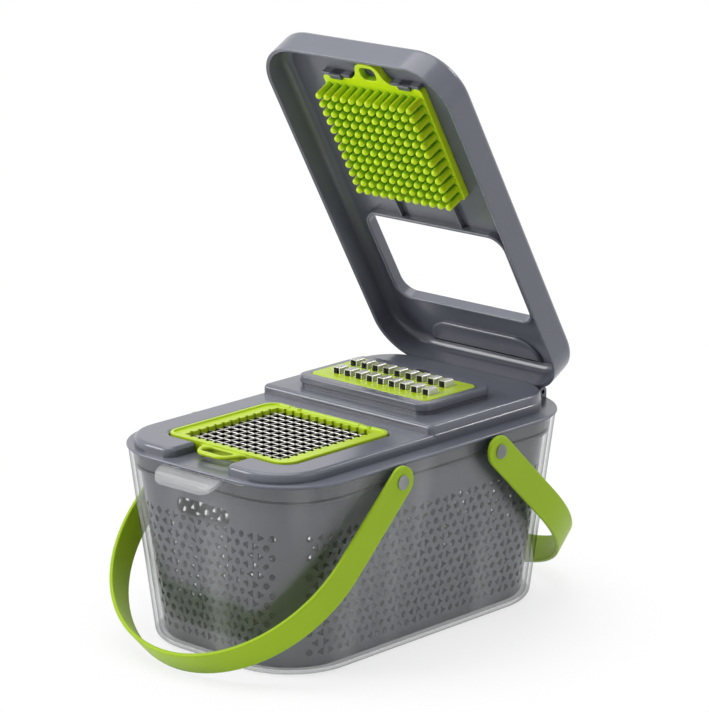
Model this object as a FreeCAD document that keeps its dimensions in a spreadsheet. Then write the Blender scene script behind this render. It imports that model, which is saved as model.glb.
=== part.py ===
import FreeCAD, Part
import math
import os
import Sketcher

# Mandoline slicer and dicer over a clear tub, in millimetres.
# X is the width, Y runs from the pull ring (front, minus) to the lid hinge (rear, plus), Z is up.
# The origin is the middle of the tub's underside. The lid stands open and both handles hang.

SIZES = {
    # clear tub
    "tub_half_width": 79.0,
    "tub_half_length": 127.0,
    "tub_height": 115.9,
    "tub_corner": 43.5,
    "tub_draft": 5.2,
    "tub_wall": 2.4,
    "tub_floor": 2.6,
    "tub_base_bevel": 4.0,
    "tab_half_width": 24.0,
    "tab_corner": 7.0,
    "tab_reach": 11.0,
    "tab_drop": 5.6,
    "tab_thick": 2.2,
    # handle pivots on the tub
    "pivot_spread": 42.7,
    "pivot_drop": 7.9,
    "boss_radius": 6.2,
    "boss_reach": 2.4,
    "stud_radius": 3.2,
    "stud_head_radius": 4.4,
    "stud_head_thick": 1.6,
    # carrying straps
    "strap_gap": 0.7,
    "strap_head_gap": 0.3,
    "strap_thick": 2.6,
    "strap_width": 19.0,
    "strap_reach": 144.0,
    "strap_hang": 43.6,
    "strap_bore_gap": 0.08,
    # colander basket
    "basket_gap": 3.4,
    "basket_headroom": 1.6,
    "basket_wall": 1.8,
    "basket_floor": 2.0,
    "basket_base_bevel": 3.2,
    "basket_rim_width": 2.4,
    "basket_rim_thick": 1.8,
    "hand_slot_half_width": 22.0,
    "hand_slot_height": 12.0,
    "hand_slot_drop": 9.9,
    "hole_size": 7.0,
    "hole_pitch": 12.0,
    "hole_row_pitch": 13.5,
    "hole_first_row": 17.0,
    "front_hole_count": 5,
    "side_hole_count": 13,
    # deck that closes the tub
    "flange_over": 1.0,
    "flange_thick": 2.0,
    "skirt_depth": 8.4,
    "skirt_gap": 1.6,
    "skirt_wall": 2.0,
    "deck_half_width": 69.2,
    "deck_front_inset": 4.6,
    "deck_rear_inset": 14.0,
    "deck_corner": 30.0,
    "deck_rear_corner": 26.0,
    "deck_step_corner": 4.0,
    "deck_wall": 2.2,
    "deck_rise": 5.9,
    "deck_bevel": 1.8,
    "step_front": -0.7,
    "step_rise": 5.5,
    "gap_half_width": 22.0,
    # pedestal for the grater
    "pedestal_half_width": 52.5,
    "pedestal_front": 11.3,
    "pedestal_rear": 73.3,
    "pedestal_rise": 6.9,
    "pedestal_lip": 3.4,
    "pedestal_undercut": 2.5,
    "pedestal_corner": 8.0,
    "notch_radius": 6.5,
    # dicing insert
    "dice_half_width": 49.2,
    "dice_half_length": 45.2,
    "dice_centre": -56.3,
    "dice_corner": 9.0,
    "dice_height": 9.6,
    "dice_proud": 0.8,
    "dice_fit": 0.3,
    "dice_border_trim": 0.4,
    "well_wall": 2.0,
    "ledge_thick": 2.0,
    "ledge_width": 4.0,
    "cell_pitch": 6.5,
    "cell_count": 12,
    "blade_thick": 0.6,
    "blade_depth": 3.5,
    "blade_recess": 2.2,
    "ring_half_width": 14.5,
    "ring_reach": 13.0,
    "ring_rim": 4.2,
    "ring_thick": 3.6,
    "ring_drop": 0.5,
    # grating insert
    "grater_half_width": 47.4,
    "grater_front": 18.4,
    "grater_rear": 65.1,
    "grater_corner": 5.0,
    "grater_thick": 2.6,
    "grater_proud": 0.4,
    "grater_fit": 0.3,
    "grater_ledge_width": 3.4,
    "grater_sheet": 0.6,
    "loop_width": 5.4,
    "loop_length": 10.5,
    "loop_rise": 4.0,
    "loop_wall": 0.5,
    "loop_pitch": 8.96,
    "loop_count": 9,
    "loop_row_front": 28.0,
    "loop_row_pitch": 19.7,
    "loop_stagger": 2.25,
    "loop_gap": 0.25,
    # flip lid and its hinge
    "hinge_inset": 5.4,
    "hinge_rise": 3.7,
    "lug_radius": 3.4,
    "lug_width": 3.6,
    "lug_outer": 49.5,
    "knuckle_radius": 3.2,
    "knuckle_width": 9.4,
    "knuckle_gap": 0.3,
    "hinge_pin_radius": 1.6,
    "hinge_bore_gap": 0.06,
    "lid_open": 60.5,
    "lid_seat": 0.3,
    "lid_half_width": 72.2,
    "lid_front_inset": 1.7,
    "lid_rear_gap": 5.0,
    "lid_corner": 29.0,
    "lid_depth": 19.7,
    "lid_wall": 2.2,
    "lid_roof": 2.4,
    "lid_bevel": 3.0,
    "window_gap": 1.5,
    "window_lip": 5.0,
    "window_lip_wall": 2.2,
    "rib_spread": 24.0,
    "rib_thick": 1.2,
    "rib_depth": 3.4,
    "panel_half_width": 44.0,
    "panel_length": 17.0,
    "panel_gap": 4.0,
    "panel_thick": 1.0,
    # pressing plate with its pins
    "plate_half_width": 39.0,
    "plate_front_reach": 43.0,
    "plate_rear_reach": 39.0,
    "plate_corner": 4.0,
    "plate_thick": 4.4,
    "pin_radius": 2.3,
    "press_ring_half_width": 8.0,
    "press_ring_reach": 11.0,
    "press_ring_rim": 3.0,
    "press_shoulder": 15.5,
    "clip_notch": 0.6,
    "clip_spread": 27.0,
    "clip_half_width": 4.6,
    "clip_rail_half_width": 11.0,
    "clip_thick": 2.0,
    "clip_hook": 1.6,
    "clip_gap": 0.2,
}


# A length that knows both its number and the sheet expression it comes from
class Size:
    def __init__(self, number, text):
        self.number = number
        self.text = text

    def __float__(self):
        return float(self.number)

    def __add__(self, other):
        return combine(self, "+", other)

    def __radd__(self, other):
        return combine(other, "+", self)

    def __sub__(self, other):
        return combine(self, "-", other)

    def __rsub__(self, other):
        return combine(other, "-", self)

    def __mul__(self, other):
        return combine(self, "*", other)

    def __rmul__(self, other):
        return combine(other, "*", self)

    def __truediv__(self, other):
        return combine(self, "/", other)

    def __neg__(self):
        return Size(-self.number, f"-({self.text})")


OPERATIONS = {
    "+": lambda a, b: a + b,
    "-": lambda a, b: a - b,
    "*": lambda a, b: a * b,
    "/": lambda a, b: a / b,
}


def as_size(value):
    return value if isinstance(value, Size) else Size(value, repr(value))


def combine(left, sign, right):
    a, b = as_size(left), as_size(right)
    return Size(OPERATIONS[sign](a.number, b.number), f"({a.text} {sign} {b.text})")


def tangent_of(angle):
    return Size(math.tan(math.radians(angle.number)), f"tan({angle.text} * 1 deg)")


doc = FreeCAD.newDocument("mandoline_slicer")
sheet = doc.addObject("Spreadsheet::Sheet", "Sizes")
for row, (alias, number) in enumerate(SIZES.items(), start=1):
    sheet.set(f"A{row}", alias)
    sheet.set(f"B{row}", str(number))
    sheet.setAlias(f"B{row}", alias)
doc.recompute()


def size(alias):
    return Size(SIZES[alias], f"Sizes.{alias}")


def bind(target, path, value):
    target.setExpression(path, as_size(value).text)


# Bodies, sketches and features

def new_body(label):
    body = doc.addObject("PartDesign::Body", label)
    body.Label = label
    body.AllowCompound = True
    return body


def origin_part(body, role):
    return next(part for part in body.Origin.OriginFeatures if part.Role == role)


def new_sketch(body, plane, offset=0.0):
    """A sketch on one of the body's origin planes, moved along that plane's normal."""
    sketch = body.newObject("Sketcher::SketchObject", f"{body.Label}_sketch")
    sketch.AttachmentSupport = [(origin_part(body, plane), "")]
    sketch.MapMode = "FlatFace"
    bind(sketch, "AttachmentOffset.Base.z", offset)
    return sketch


def measure(sketch, kind, geometry, point, value):
    """Hold one coordinate of a point, as a signed distance from the sketch's origin."""
    value = as_size(value)
    if value.number == 0:
        axis = -2 if kind == "DistanceX" else -1
        sketch.addConstraint(Sketcher.Constraint("PointOnObject", geometry, point, axis))
        return
    if value.number > 0:
        constraint = Sketcher.Constraint(kind, -1, 1, geometry, point, value.number)
    else:
        value = -value
        constraint = Sketcher.Constraint(kind, geometry, point, -1, 1, value.number)
    index = sketch.addConstraint(constraint)
    bind(sketch, f"Constraints[{index}]", value)


def hold_radius(sketch, geometry, value):
    index = sketch.addConstraint(Sketcher.Constraint("Radius", geometry, float(value)))
    bind(sketch, f"Constraints[{index}]", value)


def line(start, end):
    return Part.LineSegment(FreeCAD.Vector(*start, 0), FreeCAD.Vector(*end, 0))


def arc(centre, radius, first, last):
    circle = Part.Circle(FreeCAD.Vector(*centre, 0), FreeCAD.Vector(0, 0, 1), radius)
    return Part.ArcOfCircle(circle, math.radians(first), math.radians(last))


def join_tangent(sketch, loop, closed=True):
    """Join pieces end to start, each running smoothly into the next."""
    following = loop[1:] + loop[:1] if closed else loop[1:]
    for first, second in zip(loop, following):
        sketch.addConstraint(Sketcher.Constraint("Tangent", first, 2, second, 1))


def rounded_rect(sketch, half_width, front, rear, front_radius, rear_radius=None):
    """A rectangle about the Y axis, with one radius at both front and both rear corners."""
    same = rear_radius is None
    rear_radius = front_radius if same else rear_radius
    w, f, b = float(half_width), float(front), float(rear)
    r, q = float(front_radius), float(rear_radius)
    first = sketch.GeometryCount
    sketch.addGeometry([
        line((-w + r, f), (w - r, f)),
        arc((w - r, f + r), r, -90, 0),
        line((w, f + r), (w, b - q)),
        arc((w - q, b - q), q, 0, 90),
        line((w - q, b), (-w + q, b)),
        arc((-w + q, b - q), q, 90, 180),
        line((-w, b - q), (-w, f + r)),
        arc((-w + r, f + r), r, 180, 270),
    ])
    front_line, front_right, right, rear_right, rear_line, rear_left, left, front_left = range(first, first + 8)
    join_tangent(sketch, list(range(first, first + 8)))
    for flat in (front_line, rear_line):
        sketch.addConstraint(Sketcher.Constraint("Horizontal", flat))
    for upright in (right, left):
        sketch.addConstraint(Sketcher.Constraint("Vertical", upright))
    sketch.addConstraint(Sketcher.Constraint("Equal", front_right, front_left))
    sketch.addConstraint(Sketcher.Constraint("Equal", rear_right, rear_left))
    hold_radius(sketch, front_right, front_radius)
    if same:
        sketch.addConstraint(Sketcher.Constraint("Equal", front_right, rear_right))
    else:
        hold_radius(sketch, rear_right, rear_radius)
    measure(sketch, "DistanceX", right, 1, half_width)
    measure(sketch, "DistanceX", left, 1, -as_size(half_width))
    measure(sketch, "DistanceY", front_line, 1, front)
    measure(sketch, "DistanceY", rear_line, 1, rear)


def polygon(sketch, points):
    """A closed outline of straight sides through the given points."""
    first = sketch.GeometryCount
    ends = [(float(x), float(y)) for x, y in points]
    sketch.addGeometry([line(a, b) for a, b in zip(ends, ends[1:] + ends[:1])])
    for number, (x, y) in enumerate(points):
        side = first + number
        before = first + (number - 1) % len(points)
        sketch.addConstraint(Sketcher.Constraint("Coincident", before, 2, side, 1))
        measure(sketch, "DistanceX", side, 1, x)
        measure(sketch, "DistanceY", side, 1, y)


def box_outline(sketch, left, right, low, high):
    polygon(sketch, [(left, low), (right, low), (right, high), (left, high)])


def cut_corners(sketch, half_width, front, rear, front_cut, rear_cut):
    """A rectangle about the Y axis with its corners cut off straight."""
    polygon(sketch, [
        (front_cut - half_width, front),
        (half_width - front_cut, front),
        (half_width, front + front_cut),
        (half_width, rear - rear_cut),
        (half_width - rear_cut, rear),
        (rear_cut - half_width, rear),
        (-half_width, rear - rear_cut),
        (-half_width, front + front_cut),
    ])


def circle(sketch, x, y, radius):
    shape = Part.Circle(FreeCAD.Vector(float(x), float(y), 0), FreeCAD.Vector(0, 0, 1), float(radius))
    index = sketch.addGeometry(shape)
    measure(sketch, "DistanceX", index, 3, x)
    measure(sketch, "DistanceY", index, 3, y)
    hold_radius(sketch, index, radius)


def stadium_end(sketch, root, tip, radius):
    """A tongue along the first sketch axis, level at the given root, round about the tip."""
    (root_x, tip_x, tip_y), r = (float(v) for v in (root, tip[0], tip[1])), float(radius)
    turn = 1 if tip_x > root_x else -1
    first = sketch.GeometryCount
    sketch.addGeometry([
        line((root_x, tip_y - turn * r), (tip_x, tip_y - turn * r)),
        arc((tip_x, tip_y), r, -90 if turn > 0 else 90, 90 if turn > 0 else 270),
        line((tip_x, tip_y + turn * r), (root_x, tip_y + turn * r)),
        line((root_x, tip_y + turn * r), (root_x, tip_y - turn * r)),
    ])
    lower, cap, upper, back = range(first, first + 4)
    join_tangent(sketch, [lower, cap, upper], closed=False)
    sketch.addConstraint(Sketcher.Constraint("Coincident", upper, 2, back, 1))
    sketch.addConstraint(Sketcher.Constraint("Coincident", back, 2, lower, 1))
    sketch.addConstraint(Sketcher.Constraint("Horizontal", lower))
    sketch.addConstraint(Sketcher.Constraint("Vertical", back))
    hold_radius(sketch, cap, radius)
    measure(sketch, "DistanceX", cap, 3, tip[0])
    measure(sketch, "DistanceY", cap, 3, tip[1])
    measure(sketch, "DistanceX", back, 1, root)


def extrude(body, kind, sketch, length, back=False, both=False, taper=None):
    feature = body.newObject(f"PartDesign::{kind}", f"{body.Label}_{kind.lower()}")
    feature.Profile = sketch
    feature.Reversed = back
    if both:
        feature.SideType = "Symmetric"
    bind(feature, "Length", length)
    if taper is not None:
        bind(feature, "TaperAngle", taper)
    sketch.Visibility = False
    return feature


def pad(body, sketch, length, **options):
    return extrude(body, "Pad", sketch, length, **options)


def cut(body, sketch, length, **options):
    """Remove material, and stop the build if nothing was removed."""
    doc.recompute()
    before = body.Shape.Volume
    feature = extrude(body, "Pocket", sketch, length, **options)
    doc.recompute()
    if not body.Shape.Volume < before - 1e-6:
        raise RuntimeError(f"{feature.Name} cuts nothing")
    return feature


def dress_edges(body, kind, measure_name, amount, chosen):
    """Round or bevel the edges of the body so far that the given test picks."""
    doc.recompute()
    base = body.Tip
    names = [f"Edge{n}" for n, edge in enumerate(base.Shape.Edges, start=1) if chosen(edge)]
    if not names:
        raise RuntimeError(f"{body.Label} has no edge to dress")
    feature = body.newObject(f"PartDesign::{kind}", f"{body.Label}_{kind.lower()}")
    feature.Base = (base, names)
    bind(feature, measure_name, amount)
    return feature


def draft_walls(body, height, reach_x, reach_y):
    """Lean the four upright walls inwards, downwards from their line at the given height."""
    doc.recompute()
    base = body.Tip
    names, top = [], []
    for number, face in enumerate(base.Shape.Faces, start=1):
        lean, middle = face.normalAt(0, 0), face.CenterOfMass
        if abs(abs(lean.x) - 1) < 1e-6 and abs(abs(middle.x) - float(reach_x)) < 0.01:
            names.append(f"Face{number}")
        elif abs(abs(lean.y) - 1) < 1e-6 and abs(abs(middle.y) - float(reach_y)) < 0.01:
            names.append(f"Face{number}")
        elif abs(abs(lean.z) - 1) < 1e-6 and abs(middle.z - float(height)) < 0.01:
            top.append(f"Face{number}")
    if len(names) != 4 or not top:
        raise RuntimeError(f"{body.Label} has no four walls to draft")
    draft = body.newObject("PartDesign::Draft", f"{body.Label}_draft")
    draft.Base = (base, names)
    draft.NeutralPlane = (base, top[:1])
    draft.Reversed = True
    bind(draft, "Angle", size("tub_draft"))
    return draft


def round_edges(body, radius, chosen):
    return dress_edges(body, "Fillet", "Radius", radius, chosen)


def bevel_edges(body, width, chosen):
    return dress_edges(body, "Chamfer", "Size", width, chosen)


def level_edge(height):
    """A test for edges that lie flat at one height."""
    z = float(height)
    return lambda edge: abs(edge.BoundBox.ZMin - z) < 0.01 and abs(edge.BoundBox.ZMax - z) < 0.01


def corner_edge(half_width, half_length, height):
    """A test for the four edges that run down from the corners at one height."""
    x, y, z = float(half_width), float(half_length), float(height)
    return lambda edge: edge.BoundBox.ZLength > 1 and any(
        abs(abs(end.X) - x) < 0.01 and abs(abs(end.Y) - y) < 0.01 and abs(end.Z - z) < 0.01
        for end in edge.Vertexes
    )


def repeat(body, features, axis, pitch, count, second=None):
    """Copy features along an axis of the body, and along a second one if given."""
    pattern = body.newObject("PartDesign::LinearPattern", f"{body.Label}_pattern")
    pattern.Originals = features
    pattern.Direction = (origin_part(body, axis), [""])
    pattern.Mode = "Spacing"
    bind(pattern, "Offset", pitch)
    bind(pattern, "Occurrences", count)
    if second:
        second_axis, second_pitch, second_count = second
        pattern.Direction2 = (origin_part(body, second_axis), [""])
        pattern.Mode2 = "Spacing"
        bind(pattern, "Offset2", second_pitch)
        bind(pattern, "Occurrences2", second_count)
    body.Tip = pattern
    return pattern


def mirror(body, features, plane):
    """Copy features to the other side of one of the body's origin planes."""
    mirrored = body.newObject("PartDesign::Mirrored", f"{body.Label}_mirrored")
    mirrored.Originals = features
    mirrored.MirrorPlane = (origin_part(body, plane), [""])
    body.Tip = mirrored
    return mirrored


# Shared heights and outlines

draft_slope = tangent_of(size("tub_draft"))
rim_z = size("tub_height")
flange_top = rim_z + size("flange_thick")
deck_top = flange_top + size("deck_rise")
step_top = deck_top + size("step_rise")
pedestal_top = step_top + size("pedestal_rise")
flange_half_width = size("tub_half_width") + size("flange_over")
flange_half_length = size("tub_half_length") + size("flange_over")
deck_front = size("deck_front_inset") - flange_half_length
deck_rear = flange_half_length - size("deck_rear_inset")
skirt_low = rim_z - size("skirt_depth")
basket_top = skirt_low - size("basket_headroom")
dice_top = deck_top + size("dice_proud")
dice_seat = dice_top - size("dice_height")
dice_front = size("dice_centre") - size("dice_half_length")
dice_rear = size("dice_centre") + size("dice_half_length")
cell_field = size("cell_count") * size("cell_pitch") / 2
dice_opening = cell_field - size("dice_border_trim")
first_cell = size("cell_pitch") * (size("cell_count") - 1) / 2
first_blade = size("cell_pitch") * (size("cell_count") - 2) / 2
blade_top = dice_top - size("blade_recess")
grater_top = pedestal_top + size("grater_proud")
grater_seat = grater_top - size("grater_thick")
hinge_y = flange_half_length - size("hinge_inset")
hinge_z = flange_top + size("hinge_rise")
pivot_z = rim_z - size("pivot_drop")
boss_face = size("tub_half_width") + size("boss_reach")
boss_root = size("tub_half_width") - size("pivot_drop") * draft_slope - size("tub_wall") / 2
strap_inner = boss_face + size("strap_gap")
strap_outer = strap_inner + size("strap_thick")


# Clear tub with its pull tab and handle bosses

def tub_outline(sketch, inset):
    rounded_rect(
        sketch,
        size("tub_half_width") - inset,
        inset - size("tub_half_length"),
        size("tub_half_length") - inset,
        size("tub_corner") - inset,
    )


def drafted_block(body, inset, top, depth):
    """A block with leaning walls and rounded upright corners, drawn at its top."""
    width, length = size("tub_half_width") - inset, size("tub_half_length") - inset
    outside = new_sketch(body, "XY_Plane", top)
    box_outline(outside, -width, width, -length, length)
    pad(body, outside, depth, back=True)
    draft_walls(body, top, width, length)
    round_edges(body, size("tub_corner") - inset, corner_edge(width, length, top))


def hollow_out(body, inset, top, depth):
    """Take such a block out of a body, which leaves an even wall."""
    hollow = new_body(f"{body.Label}_hollow")
    drafted_block(hollow, inset, top, depth)
    hollowed = body.newObject("PartDesign::Boolean", f"{body.Label}_hollowed")
    hollowed.Type = "Cut"
    hollowed.setObjects([hollow])
    return hollowed


def build_container():
    body = new_body("container")
    drafted_block(body, as_size(0.0), rim_z, rim_z)
    bevel_edges(body, size("tub_base_bevel"), level_edge(0.0))

    tab = new_sketch(body, "YZ_Plane")
    root = size("tub_wall") / 2 - size("tub_half_length")
    tip = -size("tub_half_length") - size("tab_reach")
    middle = (root + tip) / 2
    top = rim_z - size("tab_thick") / 4
    polygon(tab, [
        (root, top),
        (middle, top - size("tab_drop") / 3),
        (tip, top - size("tab_drop")),
        (tip, top - size("tab_drop") - size("tab_thick")),
        (middle, top - size("tab_drop") / 3 - size("tab_thick")),
        (root, top - size("tab_thick")),
    ])
    pad(body, tab, size("tab_half_width") * 2, both=True)
    tab_ends = new_sketch(body, "XY_Plane", rim_z)
    tab_edge, corner = size("tab_half_width"), size("tab_corner")
    for side in (-1, 1):
        polygon(tab_ends, [
            (tab_edge * side, tip),
            (tab_edge * side, tip + corner),
            ((tab_edge - corner * 0.3) * side, tip + corner * 0.3),
            ((tab_edge - corner) * side, tip),
        ])
    cut(body, tab_ends, size("tab_drop") + size("tab_thick") * 2)

    boss = new_sketch(body, "YZ_Plane", boss_face)
    circle(boss, size("pivot_spread"), pivot_z, size("boss_radius"))
    circle(boss, -size("pivot_spread"), pivot_z, size("boss_radius"))
    bosses = pad(body, boss, boss_face - boss_root, back=True)
    mirror(body, [bosses], "YZ_Plane")
    hollow_out(body, size("tub_wall"), rim_z, rim_z - size("tub_floor"))

    bore = new_sketch(body, "YZ_Plane", boss_face)
    circle(bore, size("pivot_spread"), pivot_z, size("stud_radius"))
    circle(bore, -size("pivot_spread"), pivot_z, size("stud_radius"))
    bores = cut(body, bore, boss_face - boss_root)
    mirror(body, [bores], "YZ_Plane")
    return body


# Colander basket that stands in the tub

def build_basket():
    body = new_body("colander_basket")
    inset = size("tub_wall") + size("basket_gap") + (rim_z - basket_top) * draft_slope
    height = basket_top - size("tub_floor")
    drafted_block(body, inset, basket_top, height)
    bevel_edges(body, size("basket_base_bevel"), level_edge(size("tub_floor")))
    hollow_out(body, inset + size("basket_wall"), basket_top, height - size("basket_floor"))

    rim = new_sketch(body, "XY_Plane", basket_top)
    tub_outline(rim, inset - size("basket_rim_width"))
    tub_outline(rim, inset + size("basket_wall") / 2)
    pad(body, rim, size("basket_rim_thick"), back=True)

    slot = new_sketch(body, "XZ_Plane")
    slot_top = basket_top - size("hand_slot_drop")
    rounded_rect(
        slot,
        size("hand_slot_half_width"),
        slot_top - size("hand_slot_height"),
        slot_top,
        size("hand_slot_height") * 0.45,
    )
    cut(body, slot, size("tub_half_length") * 2, both=True)
    cut_holes(body, "XZ_Plane", "X_Axis", size("front_hole_count"), size("tub_half_length"))
    cut_holes(body, "YZ_Plane", "Y_Axis", size("side_hole_count"), size("tub_half_width"))
    return body


def cut_holes(body, plane, axis, count, reach):
    """Rows of three-cornered holes through two facing walls, which point one way and the other in turn."""
    half, pitch, rise = size("hole_size") / 2, size("hole_pitch"), size("hole_row_pitch")
    row_sets = ((1, size("hole_first_row"), count, 3), (-1, size("hole_first_row") + rise, count - 1, 2))
    for point, low, holes, rows in row_sets:
        first = -pitch * (holes - 1) / 2
        hole = new_sketch(body, plane)
        polygon(hole, [
            (first - half * point, low - half),
            (first + half * point, low),
            (first - half * point, low + half),
        ])
        single = cut(body, hole, reach * 2, both=True)
        repeat(body, [single], axis, pitch, holes, ("Z_Axis", rise * 2, as_size(rows)))


# Deck over the tub, with its step, wells, skirt and hinge lugs

def deck_outline(sketch, front, inset, front_radius):
    rounded_rect(
        sketch,
        size("deck_half_width") - inset,
        front + inset,
        deck_rear - inset,
        front_radius - inset,
        size("deck_rear_corner") - inset,
    )


def pedestal_outline(sketch, inset):
    rounded_rect(
        sketch,
        size("pedestal_half_width") - inset,
        size("pedestal_front") + inset,
        size("pedestal_rear") - inset,
        size("pedestal_corner") - inset,
    )


def dice_outline(sketch, grow):
    rounded_rect(
        sketch,
        size("dice_half_width") + grow,
        dice_front - grow,
        dice_rear + grow,
        size("dice_corner") + grow,
    )


def grater_outline(sketch, grow):
    rounded_rect(
        sketch,
        size("grater_half_width") + grow,
        size("grater_front") - grow,
        size("grater_rear") + grow,
        size("grater_corner") + grow,
    )


def build_deck():
    body = new_body("top_deck")
    wall = size("deck_wall")
    none = as_size(0.0)

    flange = new_sketch(body, "XY_Plane", rim_z)
    tub_outline(flange, -size("flange_over"))
    pad(body, flange, size("flange_thick"))

    lower = new_sketch(body, "XY_Plane", flange_top)
    deck_outline(lower, deck_front, none, size("deck_corner"))
    pad(body, lower, size("deck_rise"))
    bevel_edges(body, size("deck_bevel"), level_edge(deck_top))

    upper = new_sketch(body, "XY_Plane", flange_top)
    deck_outline(upper, size("step_front"), none, size("deck_step_corner"))
    pad(body, upper, step_top - flange_top)
    bevel_edges(body, size("deck_bevel"), level_edge(step_top))

    foot = new_sketch(body, "XY_Plane", step_top - wall / 2)
    pedestal_outline(foot, size("pedestal_undercut"))
    pad(body, foot, pedestal_top - size("pedestal_lip") - step_top + wall / 2)
    lip = new_sketch(body, "XY_Plane", pedestal_top)
    pedestal_outline(lip, none)
    pad(body, lip, size("pedestal_lip"), back=True)

    # hollow the mouldings from below
    inner_half, rear_cut = size("deck_half_width") - wall, size("deck_rear_corner") - wall
    lower_hollow = new_sketch(body, "XY_Plane", rim_z)
    cut_corners(
        lower_hollow, inner_half, deck_front + wall, deck_rear - wall, size("deck_corner") - wall, rear_cut
    )
    cut(body, lower_hollow, deck_top - wall - rim_z, back=True)
    upper_hollow = new_sketch(body, "XY_Plane", rim_z)
    cut_corners(
        upper_hollow, inner_half, size("step_front") + wall, deck_rear - wall, size("deck_step_corner"), rear_cut
    )
    cut(body, upper_hollow, step_top - wall - rim_z, back=True)
    pedestal_hollow = new_sketch(body, "XY_Plane", rim_z)
    inset = size("pedestal_undercut") + wall
    box_outline(
        pedestal_hollow,
        inset - size("pedestal_half_width"),
        size("pedestal_half_width") - inset,
        size("pedestal_front") + inset,
        size("pedestal_rear") - inset,
    )
    cut(body, pedestal_hollow, grater_seat - size("ledge_thick") - rim_z, back=True)

    # skirt that plugs into the tub
    skirt = new_sketch(body, "XY_Plane", rim_z)
    skirt_inset = size("tub_wall") + size("skirt_gap")
    tub_outline(skirt, skirt_inset)
    tub_outline(skirt, skirt_inset + size("skirt_wall"))
    pad(body, skirt, size("skirt_depth"), back=True)

    # well and ledge for the dicing insert
    well = new_sketch(body, "XY_Plane", dice_seat - size("ledge_thick"))
    dice_outline(well, size("dice_fit") + size("well_wall"))
    pad(body, well, deck_top - dice_seat + size("ledge_thick"))
    gap_block = new_sketch(body, "XY_Plane", rim_z)
    box_outline(
        gap_block,
        -size("gap_half_width") - wall,
        size("gap_half_width") + wall,
        deck_front + size("deck_bevel"),
        dice_front - size("dice_fit"),
    )
    pad(body, gap_block, deck_top - rim_z)
    seat = new_sketch(body, "XY_Plane", deck_top)
    dice_outline(seat, size("dice_fit"))
    cut(body, seat, deck_top - dice_seat)
    throat = new_sketch(body, "XY_Plane", dice_seat)
    dice_outline(throat, -size("ledge_width"))
    cut(body, throat, size("ledge_thick") * 2)
    gap = new_sketch(body, "XY_Plane", flange_top)
    box_outline(
        gap,
        -size("gap_half_width"),
        size("gap_half_width"),
        -flange_half_length,
        dice_front,
    )
    cut(body, gap, size("deck_rise") * 2, back=True)

    # seat and ledge for the grating insert
    plate_seat = new_sketch(body, "XY_Plane", pedestal_top)
    grater_outline(plate_seat, size("grater_fit"))
    cut(body, plate_seat, pedestal_top - grater_seat)
    notch = new_sketch(body, "XY_Plane", pedestal_top)
    circle(notch, 0.0, size("grater_rear"), size("notch_radius"))
    cut(body, notch, pedestal_top - grater_seat)
    plate_throat = new_sketch(body, "XY_Plane", grater_seat)
    grater_outline(plate_throat, -size("grater_ledge_width"))
    cut(body, plate_throat, size("ledge_thick") * 2)

    # clevis lugs of the lid hinge
    inner_lug = size("lug_outer") - size("lug_width") * 2 - size("knuckle_width") - size("knuckle_gap") * 2
    lugs = []
    for near_side in (size("lug_outer") - size("lug_width"), inner_lug):
        lug = new_sketch(body, "YZ_Plane", near_side)
        lug_outline(lug)
        lugs.append(pad(body, lug, size("lug_width")))
    mirror(body, lugs, "YZ_Plane")
    bore = new_sketch(body, "YZ_Plane")
    circle(bore, hinge_y, hinge_z, size("hinge_pin_radius"))
    cut(body, bore, size("lug_outer") * 4, both=True)
    return body


def lug_outline(sketch):
    """An upright lug that stands on the flange and is round about the hinge axis."""
    y, z, r = float(hinge_y), float(hinge_z), float(size("lug_radius"))
    foot = float(flange_top - size("flange_thick") / 2)
    sketch.addGeometry([
        line((y + r, foot), (y + r, z)),
        arc((y, z), r, 0, 180),
        line((y - r, z), (y - r, foot)),
        line((y - r, foot), (y + r, foot)),
    ])
    join_tangent(sketch, [0, 1, 2], closed=False)
    sketch.addConstraint(Sketcher.Constraint("Coincident", 2, 2, 3, 1))
    sketch.addConstraint(Sketcher.Constraint("Coincident", 3, 2, 0, 1))
    sketch.addConstraint(Sketcher.Constraint("Vertical", 0))
    sketch.addConstraint(Sketcher.Constraint("Horizontal", 3))
    hold_radius(sketch, 1, size("lug_radius"))
    measure(sketch, "DistanceX", 1, 3, hinge_y)
    measure(sketch, "DistanceY", 1, 3, hinge_z)
    measure(sketch, "DistanceY", 3, 1, flange_top - size("flange_thick") / 2)


# Dicing insert, a frame with a pull ring and two layers of blades

def build_dice_frame():
    body = new_body("dice_frame")
    frame = new_sketch(body, "XY_Plane", dice_seat)
    dice_outline(frame, as_size(0.0))
    pad(body, frame, size("dice_height"))
    ring_top = dice_top - size("ring_drop")
    ring = new_sketch(body, "XY_Plane", ring_top)
    rounded_rect(
        ring,
        size("ring_half_width"),
        dice_front - size("ring_reach"),
        dice_front + size("ring_rim"),
        size("ring_reach") * 0.85,
        size("ring_rim") / 2,
    )
    pad(body, ring, size("ring_thick"), back=True)
    hole = new_sketch(body, "XY_Plane", ring_top)
    rounded_rect(
        hole,
        size("ring_half_width") - size("ring_rim"),
        dice_front - size("ring_reach") + size("ring_rim"),
        dice_front - size("ring_rim") / 4,
        (size("ring_reach") - size("ring_rim")) * 0.4,
    )
    cut(body, hole, size("ring_thick"))
    opening = new_sketch(body, "XY_Plane", dice_top)
    box_outline(
        opening,
        -dice_opening,
        dice_opening,
        size("dice_centre") - dice_opening,
        size("dice_centre") + dice_opening,
    )
    cut(body, opening, size("dice_height"))
    return body


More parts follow.
